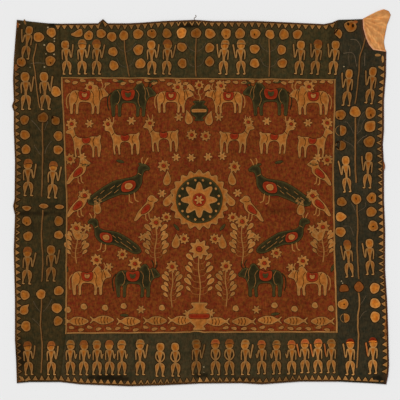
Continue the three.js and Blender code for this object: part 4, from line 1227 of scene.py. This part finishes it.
# %% Animals as lists of parts
# Each part: kind, cotton, lift, points. A bull stands on (0, 0) to about 100 mm long and looks to +X.
BULL = [
    ("piece", "tan", 0, [(9, 0), (15, 0), (15, 12), (19, 25), (22, 12), (22, 0), (28, 0), (28, 16), (33, 28),
                         (56, 27), (61, 16), (60, 0), (66, 0), (67, 14), (70, 19), (73, 12), (73, 0), (79, 0),
                         (80, 18), (83, 31), (87, 38), (92, 41), (100, 43), (102, 48), (97, 54), (92, 60),
                         (84, 62), (79, 60), (75, 68), (68, 71), (61, 65), (55, 57), (40, 54), (24, 57),
                         (13, 54), (7, 46), (5, 34), (7, 18)]),
    ("piece", "red", 0.9, [(30, 54.5), (31, 38), (43, 33), (55, 38), (56, 55.5), (43, 53)]),
    ("piece", "tan", 1.5, [(37, 50), (38, 42), (43, 39.5), (48, 42), (49, 50), (43, 48)]),
    ("cord", "tan", 0, [(90, 60), (95, 66), (94, 76)]),
    ("cord", "tan", 0, [(86, 62), (88, 70), (84, 79)]),
    ("cord", "tan", 0, [(7, 50), (0, 40), (-1, 24), (2, 12)]),
    ("thread", "dark", 1.1, [(76, 63), (80, 52), (79, 40), (82, 31)]),
    ("thread", "dark", 1.1, [(82, 60), (86, 50), (88, 41)]),
    ("thread", "dark", 1.1, [(20, 55), (26, 44), (24, 30), (19, 24)]),
    ("thread", "dark", 1.1, [(60, 56), (66, 46), (64, 32), (68, 20)]),
]
DEER = [
    ("piece", "tan", 0, [(10, 0), (14.5, 0), (16, 16), (20, 27), (24, 14), (24, 0), (28.5, 0), (29, 18),
                         (35, 30), (52, 30), (57, 16), (55, 0), (59.5, 0), (62, 16), (66, 23), (69, 12),
                         (67, 0), (71.5, 0), (74, 22), (75, 36), (80, 50), (84, 57), (93, 59), (95, 63),
                         (89, 68), (80, 72), (75, 68), (71, 56), (64, 49), (48, 47), (30, 51), (16, 51),
                         (10, 55), (7, 51), (10, 42), (7, 26)]),
    ("cord", "tan", 0, [(82, 71), (80, 80), (84, 92)]),
    ("cord", "tan", 0, [(78, 70), (73, 80), (72, 93)]),
    ("thread", "tan", 0, [(80, 80), (87, 84)]),
    ("thread", "tan", 0, [(74, 80), (67, 86)]),
    ("piece", "red", 0.9, [(35, 48), (37, 36), (50, 35), (54, 47), (45, 46)]),
    ("thread", "dark", 1.1, [(70, 55), (77, 48)]),
    ("thread", "dark", 1.1, [(22, 50), (27, 40), (24, 28)]),
]
BIRD = [
    ("piece", "tan", 0, [(0, 0), (7, 1), (17, 12), (26, 15), (37, 21), (45, 31), (47, 42), (53, 45), (57, 50),
                         (51, 54), (45, 60), (37, 60), (31, 53), (29, 44), (21, 35), (10, 22), (3, 9)]),
    ("piece", "red", 0.9, [(17, 17), (28, 20), (37, 28), (36, 38), (27, 36), (19, 27)]),
    ("cord", "tan", 0, [(27, 16), (28, 4), (33, 0)]), ("cord", "tan", 0, [(34, 20), (36, 6), (41, 2)]),
    ("thread", "dark", 1.1, [(31, 50), (38, 46), (45, 47)]),
]
# The large dark bird, about 150 mm long, with a sweeping tail and tan spots
PEAFOWL = [
    ("piece", "green", 0, [(-78, -38), (-62, -42), (-34, -30), (-10, -20), (8, -20), (26, -12), (36, 2),
                           (38, 18), (43, 30), (52, 32), (54, 36), (46, 44), (36, 45), (29, 38), (26, 24),
                           (16, 17), (-2, 14), (-26, 8), (-52, -8), (-72, -24)]),
    ("piece", "red", 0.9, [(-6, -12), (8, -14), (22, -5), (22, 8), (10, 10), (-4, 4)]),
    ("piece", "tan", 1.5, [(2, -7), (12, -8), (17, 0), (10, 5), (2, 2)]),
    ("cord", "tan", 0, [(10, -19), (11, -34), (18, -38)]),
    ("cord", "tan", 0, [(20, -15), (23, -31), (30, -35)]),
    ("cord", "tan", 0, [(38, 45), (36, 53), (38, 60)]),
    ("cord", "tan", 0, [(43, 45), (46, 52), (50, 58)]),
    *[("thread", "tan", 1.1, [(x, y), (x + 9, y + 7)]) for x, y in
      [(-66, -30), (-56, -34), (-46, -27), (-52, -18), (-36, -20), (-30, -8), (-22, -16), (-16, -4)]],
    ("thread", "tan", 1.1, [(28, 26), (36, 22)]),
]
FISH = [
    ("piece", "tan", 0, [(-32, -9), (-22, -3), (-8, -10), (8, -11), (20, -7), (29, 0), (20, 7), (8, 11),
                         (-8, 10), (-22, 3), (-32, 9), (-27, 0)]),
    ("thread", "dark", 1.1, [(14, -8), (11, 0), (14, 8)]),
    *[("thread", "dark", 1.1, [(x, -9), (x - 3, 0), (x, 9)]) for x in (-2, 6)],
]
POT = [
    ("piece", "tan", 0, [(-13, 0), (13, 0), (12, 4), (9, 8), (20, 17), (25, 29), (21, 41), (12, 47), (17, 53),
                         (16, 57), (-16, 57), (-17, 53), (-12, 47), (-21, 41), (-25, 29), (-20, 17), (-9, 8),
                         (-12, 4)]),
    ("piece", "red", 0.9, [(-19, 24), (19, 24), (20, 33), (-20, 33)]),
]
print("parts in a bull:", len(BULL))

# %% Rosettes, stars, paisleys and leaves are drawn by rule


def wavy_ring(mean, wave, count, step=2.0):
    """A ring whose edge swells and dips a number of times: petals, scallops or the points of a star"""
    turn = np.linspace(0, 2 * math.pi, 24 * count, endpoint=False)
    radius = mean + wave * np.cos(count * turn)
    return even_steps(np.stack([radius * np.cos(turn), radius * np.sin(turn)], 1), step)


def leaf_outline(long, wide):
    """A leaf from its stalk to its tip, wider near the stalk"""
    along, aside = 1 - np.cos(FINE_TURN), np.sin(FINE_TURN) * (1 - 0.35 * np.cos(FINE_TURN))
    return even_steps(np.stack([long / 2 * along, wide / 2 * aside], 1), 2.0)


def paisley_outline(long):
    """A drop whose tip curls to one side"""
    t = np.linspace(0, 2 * math.pi, 48, endpoint=False)
    share = (1 - np.cos(t)) / 2
    half_wide = 0.36 * long * np.sin(t) * np.sqrt(np.clip(1.05 - share, 0, 1))
    return even_steps(np.stack([half_wide + 0.34 * long * share**3, long * share], 1), 2.0)


LEAF, SMALL_LEAF = cut(leaf_outline(24, 11), 3), cut(leaf_outline(16, 8), 3)
STAR, ROSETTE = cut(wavy_ring(9, 3.4, 6), 3), cut(wavy_ring(15, 3.2, 8), 3)
BUD, SMALL_BUD = cut(wobbly_disc(5, 5, 1, 1.6), 2.4), cut(wobbly_disc(3.2, 3.2, 2, 1.4), 2.4)
PAISLEY, DASH = cut(paisley_outline(34), 3), cut(lens(11, 3.4, 3.4), 3)
print("triangles in a rosette:", len(ROSETTE["faces"]))

# %% Sewing a motif, a rosette and a tree
# How wide the dark thread round a field piece is (it also paints the shadow along the piece's edge), how pale
# a piece's turned edge is, and how pale a tan line's edge is
FIELD_THREAD, FIELD_RIM, LINE_RIM = 1.3, 0.75, 0.5
MOTIF_STEP, MOTIF_CELL, LINE_STEP = 2.4, 3.4, 2.5
# How wide and how high a motif's cords and threads are
LINE_SIZES = {"cord": (3.2, 0.9), "thread": (1.5, 0.45)}
LAYER_UP = 0.9
# A tree: how wide and high its stem and stalks are, how light, and how far up the first leaves stand
STEM_WIDE, STEM_HIGH, STEM_TONE, STEM_RIM = 3.4, 0.9, 0.95, 0.5
STALK_WIDE, STALK_HIGH, STALK_TONE, STALK_RIM = 1.6, 0.5, 0.9, 0.4
FIRST_PAIR, PAIRS_REACH, TOP_SHRINK, LEAF_LEAN, CROWN_UP = 0.18, 0.72, 0.35, 0.8, 10

field_layers = {"tan": Layer(), "red": Layer(), "green": Layer(), "dark": Layer()}
cut_parts = {}


def sew_shape(piece, cotton, at, size=1.0, turn=0.0, mirror=1, lift=0.0, tone=1.0):
    """Sews one piece to the field with a fine dark thread round it that also paints the shadow along its edge
    """
    thread = field_layers["dark"]
    sew(field_layers[cotton], piece, at, size, turn, mirror, tone, lift, thread, FIELD_RIM, FIELD_THREAD)


def sew_motif(motif, at, size=1.0, mirror=1, tone=1.0, other=None):
    """Sews a motif's parts in turn, in other cottons if asked. A piece is cut once and kept."""
    for kind, cotton, lift, points in motif:
        cotton = (other or {}).get(cotton, cotton)
        shade = tone if cotton == "tan" else 1.0
        if kind == "piece":
            key = tuple(points)
            if key not in cut_parts:
                cut_parts[key] = cut(rounded(points, MOTIF_STEP), MOTIF_CELL)
            sew_shape(cut_parts[key], cotton, at, size, 0.0, mirror, lift, shade)
        else:
            line = rounded(placed(points, at, size, 0.0, mirror), LINE_STEP, closed=False)
            rim = LINE_RIM if cotton == "tan" else 0
            couch(field_layers[cotton], line, *LINE_SIZES[kind], lift, tone=shade, rim=rim)


def rosette(at, size=1.0, tone=1.0):
    """Eight petals in tan with a red bud over them"""
    sew_shape(ROSETTE, "tan", at, size, 0.2, tone=tone)
    sew_shape(BUD, "red", at, size, lift=LAYER_UP)


def tree(at, tall, mirror, pairs, wide, crown, tone=1.0):
    """A stem with paired leaves on bent stalks and a rosette on top"""
    x, y = at
    sway = [(x, y), (x + 3 * mirror, y + 0.35 * tall), (x - 2 * mirror, y + 0.7 * tall), (x, y + tall)]
    stem = rounded(sway, 3, closed=False)
    couch(field_layers["tan"], stem, STEM_WIDE, STEM_HIGH, tone=tone * STEM_TONE, rim=STEM_RIM)
    for i in range(pairs):
        up = y + tall * (FIRST_PAIR + PAIRS_REACH * i / pairs)
        for side_way in (-1, 1):
            reach = side_way * wide * (1 - TOP_SHRINK * i / pairs)
            end = (x + reach * 0.55, up + 10)
            stalk = rounded([(x, up), (x + reach * 0.4, up + 3), end], LINE_STEP, closed=False)
            couch(field_layers["tan"], stalk, STALK_WIDE, STALK_HIGH, tone=tone * STALK_TONE, rim=STALK_RIM)
            leaf, shade = LEAF if i % 2 else SMALL_LEAF, tone * (1 + 0.15 * stray(i, side_way + x))
            sew_shape(leaf, "tan", end, 1, math.pi / 2 - side_way * LEAF_LEAN, tone=shade)
    rosette((x, y + tall + CROWN_UP), crown, tone)


print("a stem's width, in millimetres:", STEM_WIDE)

# %% Sew the medallion
MIDDLE_X, MIDDLE_Y = -2.0, 8
# Each ring, from the ground up: mean radius, wave, number of waves, step, cell, cotton, lift, tone
RINGS = [(74, 4.5, 20, 2.0, 4.5, "tan", 0.0, 1.0), (60, 0, 8, 2.6, 4.5, "green", 0.9, 1.0),
         (38, 9, 8, 2.0, 4, "tan", 1.7, 1.1), (17, 0, 6, 2.0, 4, "red", 2.5, 1.0)]
BUD_RING, BUDS = 52, 16

for mean, wave, count, step, cell, cotton, lift, tone in RINGS:
    piece = cut(wavy_ring(mean, wave, count, step), cell)
    sew_shape(piece, cotton, (MIDDLE_X, MIDDLE_Y), lift=lift, tone=tone)
sew_shape(STAR, "tan", (MIDDLE_X, MIDDLE_Y), lift=3.2, tone=1.2)
for i in range(BUDS):
    turn = 2 * math.pi * (i + 0.5) / BUDS
    bud_at = (MIDDLE_X + BUD_RING * math.cos(turn), MIDDLE_Y + BUD_RING * math.sin(turn))
    sew_shape(SMALL_BUD, "tan", bud_at, lift=1.7, tone=1.1)
print("points in the field's tan work so far:", field_layers["tan"].count)

# %% Sew the animals, trees and small motifs, one half and then its twin
DARK_BULL = {"tan": "green", "dark": "tan"}
# Motifs of one half: motif, size, which way they look, tone, cottons, places from the middle
HALF_MOTIFS = [
    (BULL, 1.06, -1, 1.0, None, [(343, 232)]), (BULL, 0.96, -1, 1.06, None, [(116, 236)]),
    (BULL, 1.06, -1, 1.05, None, [(338, -240)]), (BULL, 1.22, -1, 1.0, DARK_BULL, [(238, 228)]),
    (BULL, 1.2, -1, 1.0, DARK_BULL, [(224, -242)]), (DEER, 1.04, 1, 1.0, None, [(248, 120)]),
    (DEER, 1.04, 1, 1.06, None, [(148, 128)]), (DEER, 1.04, 1, 0.92, None, [(46, 132)]),
    (PEAFOWL, 1.22, -1, 1.1, None, [(194, 44)]), (PEAFOWL, 1.05, 1, 1.1, None, [(232, -88)]),
    (BIRD, 1.1, -1, 1.0, None, [(344, 48), (168, -46)]), (BIRD, 1.1, -1, 1.1, None, [(344, -36)]),
]
FISH_PLACES = [(x, -306) for x in (318, 250, 182, 114, 48)]
# Trees: place, height, pairs of leaves, width, crown
TREES = [((320, -156), 82, 5, 28, 1.0), ((112, -160), 100, 6, 30, 1.0), ((70, -270), 96, 5, 20, 0.9)]
# Rosettes: x, y, size
ROSETTES = [
    (284, 302, 0.85), (56, 302, 0.85), (332, 206, 0.85), (296, 20, 1.0), (168, -156, 1.0), (92, 96, 0.9),
    (40, -92, 0.8), (268, -150, 0.9), (334, 112, 0.85), (18, 176, 0.8), (200, -132, 0.8), (86, -36, 0.75),
    (238, 206, 0.8), (128, 208, 0.75),
]
STARS = [(52, 222), (176, 214), (284, 208), (292, -66), (148, -90), (236, -166), (30, -286), (150, -276),
         (98, 26), (262, 6), (22, 118), (60, 120), (306, 118)]
BUD_PLACES = [(96, -272), (196, -268), (246, -274), (300, -268), (342, -276)]
# Paisleys and green dashes: x, y, turn
PAISLEYS = [(90, 48, 0.5), (310, -96, -0.3), (92, -6, 0.9), (66, -118, 0.5), (266, -30, 0.2), (28, 204, 0.2)]
DASHES = [(204, 314, 0.1), (120, 314, -0.1), (206, 108, 0.2), (60, -64, 0.9), (296, 100, -0.1),
          (150, 100, 0.3), (346, -170, 1.2), (196, -290, 0.1)]
# Rows of small leaves: how many, first x, distance, y of even and odd ones, turn, tone
LEAF_ROWS = [(12, 60, 24, (-326, -326), 0.2, 0.9), (16, 26, 20.5, (313, 316), 0.25, 0.95)]

# How large the fish, stars, paisleys and tan buds are, and how far motifs stray along X and along Y
FISH_SIZE, STAR_SIZE, PAISLEY_SIZE, BUD_SIZE = 1.02, 0.95, 1.05, 1.6
STRAY_X, STRAY_Y = 1.5, 2.0

for side_way in (-1, 1):

    def spot(x, y):
        """A place on one half, and its twin on the other, a little out of true"""
        return (MIDDLE_X + side_way * x + STRAY_X * stray(x, y), y + STRAY_Y * stray(y, side_way + x))

    for motif, size, way, tone, other, places in HALF_MOTIFS:
        for place in places:
            sew_motif(motif, spot(*place), size, way * side_way, tone, other)
    for x, y in FISH_PLACES:
        sew_motif(FISH, spot(x, y), FISH_SIZE, -side_way, 1.0 + 0.1 * stray(x, 1))
    for place, tall, pairs, wide, crown in TREES:
        tree(spot(*place), tall, side_way, pairs, wide, crown)
    for x, y, size in ROSETTES:
        rosette(spot(x, y), size, 1.0 + 0.15 * stray(x, y))
    for x, y in STARS:
        sew_shape(STAR, "tan", spot(x, y), STAR_SIZE, tone=1.0 + 0.12 * stray(x, 3))
    for x, y, turn in PAISLEYS:
        sew_shape(PAISLEY, "tan", spot(x, y), PAISLEY_SIZE, turn * side_way, side_way, tone=0.95)
    for x, y, turn in DASHES:
        sew_shape(DASH, "green", spot(x, y), 1.0, turn * side_way, side_way)
    for x, y in BUD_PLACES:
        sew_shape(BUD, "tan", spot(x, y), BUD_SIZE)
    for count, first, pitch, heights, turn, tone in LEAF_ROWS:
        for i in range(count):
            leaf_at = spot(first + pitch * i, heights[i % 2])
            sew_shape(SMALL_LEAF, "tan", leaf_at, 1.0, turn * (-1) ** i, side_way, tone=tone)

# The middle has a large pot and tree below the medallion, and a small dark pot and tree above it
sew_motif(POT, (MIDDLE_X, -330), 1.25)
tree((MIDDLE_X, -262), 132, 1, 6, 40, 1.5, 1.08)
sew_motif(POT, (MIDDLE_X, 214), 0.9, other={"tan": "green", "red": "tan"})
tree((MIDDLE_X, 262), 34, 1, 2, 26, 0.7)
print("parts cut for the motifs:", len(cut_parts))

# %% Make one piece from each cotton of the field, and the threads and caps of the borders
# Each layer: its cotton and its slot
FIELD_COTTONS = {
    "tan": ("tan_cotton_field", "tan_cotton"), "red": ("red_cotton", "rust_cotton"),
    # The dark layer holds the motifs' dark threads and the shadow painted along the field pieces' edges
    "green": ("dark_green_cotton", "green_cotton"), "dark": ("dark_thread_and_edge_shadow", "green_cotton"),
}
for cotton, layer in field_layers.items():
    material, slot = FIELD_COTTONS[cotton]
    make_piece(f"field_{cotton}_work", layer, cottons[material])
# Dark threads of the borders, with the shadow painted along the pieces' edges
make_piece("border_couching_and_shadows", border_threads_and_shadows, cottons["dark_thread_and_edge_shadow"])
make_piece("red_pieces", cap_layer, cottons["cap_red_cotton"])
make_piece("crimson_caps", crimson_layer, cottons["red_cotton"])
make_piece("rusty_pieces", rusty_layer, cottons["rusty_cotton"])

# %% Places where a piece is lost and the pale ground cotton shows
# Each loss: x, y, half its width
LOSSES = [
    (-395, 456, 3.2), (-404, 410, 3.0), (-378, 427, 3.0), (-378, 420, 2.4), (-379, 386, 3.0),
    (-400, 387, 2.2),
    (-343, 408, 2.6), (-404, 353, 3.0), (-469, 464, 2.4), (-442, 353, 1.8), (374, 354, 2.4),
    (368, -203, 2.4), (371, -208, 2.0), (10, -426, 2.4), (10, -440, 1.6), (-389, 270, 2.2), (340, 120, 2.0),
    (-52, 440, 1.8),
]
LOSS_WIDE, LOSS_HIGH, LOSS_TONE, LOSS_RIM = 0.8, 0.65, 0.82, 0.3

losses = Layer()
for number, (x, y, wide) in enumerate(LOSSES):
    piece = cut(wobbly_disc(LOSS_WIDE * wide, LOSS_HIGH * wide, number * 2.3, 1.2), HOLE_CELL)
    sew(losses, piece, (x, y), tone=LOSS_TONE, rim=LOSS_RIM)
make_piece("bare_losses", losses, cottons["bare_ground_cotton"])

# %% [markdown]
# ## The lining flap
# At the upper right the face cloth is lost and the lining shows, a thin peach cotton crumpled from being
# pulled. Its edge beside the dark cloth is turned back as a pale rolled rim, and fine wrinkles fan out
# from the corner where it is caught. Highlights are painted on the crests of the folds, and shade in the
# hollow beside the rim and between the folds.

# %% The flap's edge and its wrinkles
FLAP_EDGE = np.array([(484.6, 394), (481, 401), (478, 419), (481, 437), (486, 463), (496, 489), (491, 499),
                      (478, 504), (462, 499), (442, 489), (425, 480)], float)
FLAP_CELLS = (70, 50)
FLAP_THIN, FLAP_FOLD, FLAP_RIM = 1.2, 1.1, 3.1
# Where the folds fan out from, how many there are in a radian, and how large a share each kind has
FLAP_FAN, FAN_FOLDS, FAN_FINE, FOLD_SHARE, FINE_SHARE = (418, 476), 17, 41, 0.55, 0.45
FAN_STARTS = (5, 40)
# The rolled rim and the hollow beside it, in millimetres from the rim, and how deep the hollow is
RIM_ROLL, HOLLOW_AT, HOLLOW_WIDE, HOLLOW_DEEP = (1.6, 4.4), 8.5, 2.2, 0.25
# Near its outer edge the flap thins to this height, by this slope
EDGE_HIGH, EDGE_SLOPE = 0.5, 1.2
# A pale patch near the tip, and how large it is
PALE_AT, PALE_WIDE, PALE_TONE = (467, 476), 14, 0.22
# How light the flap is and the highlight painted on the crests of its folds, the shade painted in its hollow
# and between its folds, and how soiled its outer edge is
FLAP_TONE, FOLD_HIGHLIGHT, RIM_PALE = 0.84, 0.3, 0.8
HOLLOW_SHADE, FOLD_GAP_SHADE, EDGE_SOIL, EDGE_SOIL_WIDE, FOLD_SHADE_FROM = 0.42, 0.22, 0.6, 2.5, (5, 12)
print("the flap's corner, in the frame:", in_frame([(*FLAP_EDGE[7], 0)])[0].round(4))

# %% Lay the flap in the hollow of the lost corner


def through(rows, count):
    """A line through the rows of a table, by its share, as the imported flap's sides are"""
    share = np.linspace(0, 1, count) * (len(rows) - 1)
    return np.stack([np.interp(share, np.arange(len(rows)), rows[:, k]) for k in (0, 1)], 1)


def flap_sheet():
    """The crumpled flap: folds and fine wrinkles that fan out, with painted highlights on their crests and
    painted shade between them, a rolled rim and a hollow beside it with painted shade in it
    """
    rows, columns = FLAP_CELLS
    inner, outer = through(LOST_CORNER[:, ::-1], rows)[:, None], through(FLAP_EDGE, rows)[:, None]
    share = np.linspace(0, 1, columns)[None, :, None]
    grid = (inner * (1 - share) + outer * share)[::-1]
    x, y = grid[..., 0], grid[..., 1]
    from_rim = np.linalg.norm(grid - inner[::-1], axis=2)
    from_edge = np.linalg.norm(grid - outer[::-1], axis=2)
    turn = np.arctan2(y - FLAP_FAN[1], x - FLAP_FAN[0])
    far = np.hypot(x - FLAP_FAN[0], y - FLAP_FAN[1])
    folds = 0.5 + 0.5 * np.sin(turn * FAN_FOLDS + 1.6 * drift(x, y, 40, 1.1))
    fine = 0.5 + 0.5 * np.sin(turn * FAN_FINE + 2.6 * drift(x, y, 23, 2.1) + far * 0.05)
    rim = 1 - smooth(from_rim, *RIM_ROLL)
    hollow = 1 - smooth(np.abs(from_rim - HOLLOW_AT - 1.5 * drift(x, y, 30, 7.0)), 0, HOLLOW_WIDE)
    lines = FLAP_FOLD * (FOLD_SHARE * folds + FINE_SHARE * fine) * smooth(far, *FAN_STARTS)
    face = FLAP_THIN + lines - HOLLOW_DEEP * hollow
    face = face * (1 - rim) + FLAP_RIM * rim
    face = np.minimum(face, EDGE_HIGH + from_edge * EDGE_SLOPE + rim)
    pale = 1 - smooth(np.hypot(x - PALE_AT[0], y - PALE_AT[1]), 0, PALE_WIDE)
    # Highlights painted on the crests of the folds, and a pale patch near the tip
    tone = FLAP_TONE + FOLD_HIGHLIGHT * folds * fine + PALE_TONE * pale
    tone = tone + 0.07 * drift(x, y, 17, 5.0) + 0.05 * drift(x, y, 7, 9.0)
    # Shade painted in the hollow and between the folds, and soil at the outer edge
    soil_and_shade = HOLLOW_SHADE * hollow + FOLD_GAP_SHADE * (1 - folds) * smooth(from_rim, *FOLD_SHADE_FROM)
    soil_and_shade = soil_and_shade + EDGE_SOIL * (1 - smooth(from_edge, 0, EDGE_SOIL_WIDE))
    layer = Layer()
    closed_sheet(layer, grid, face, tone, RIM_PALE * rim, soil_and_shade)
    material = cottons["peach_cotton_lining"]
    return make_piece("lining_flap_cloth", layer, material, ["lining_flap"])


flap = flap_sheet()
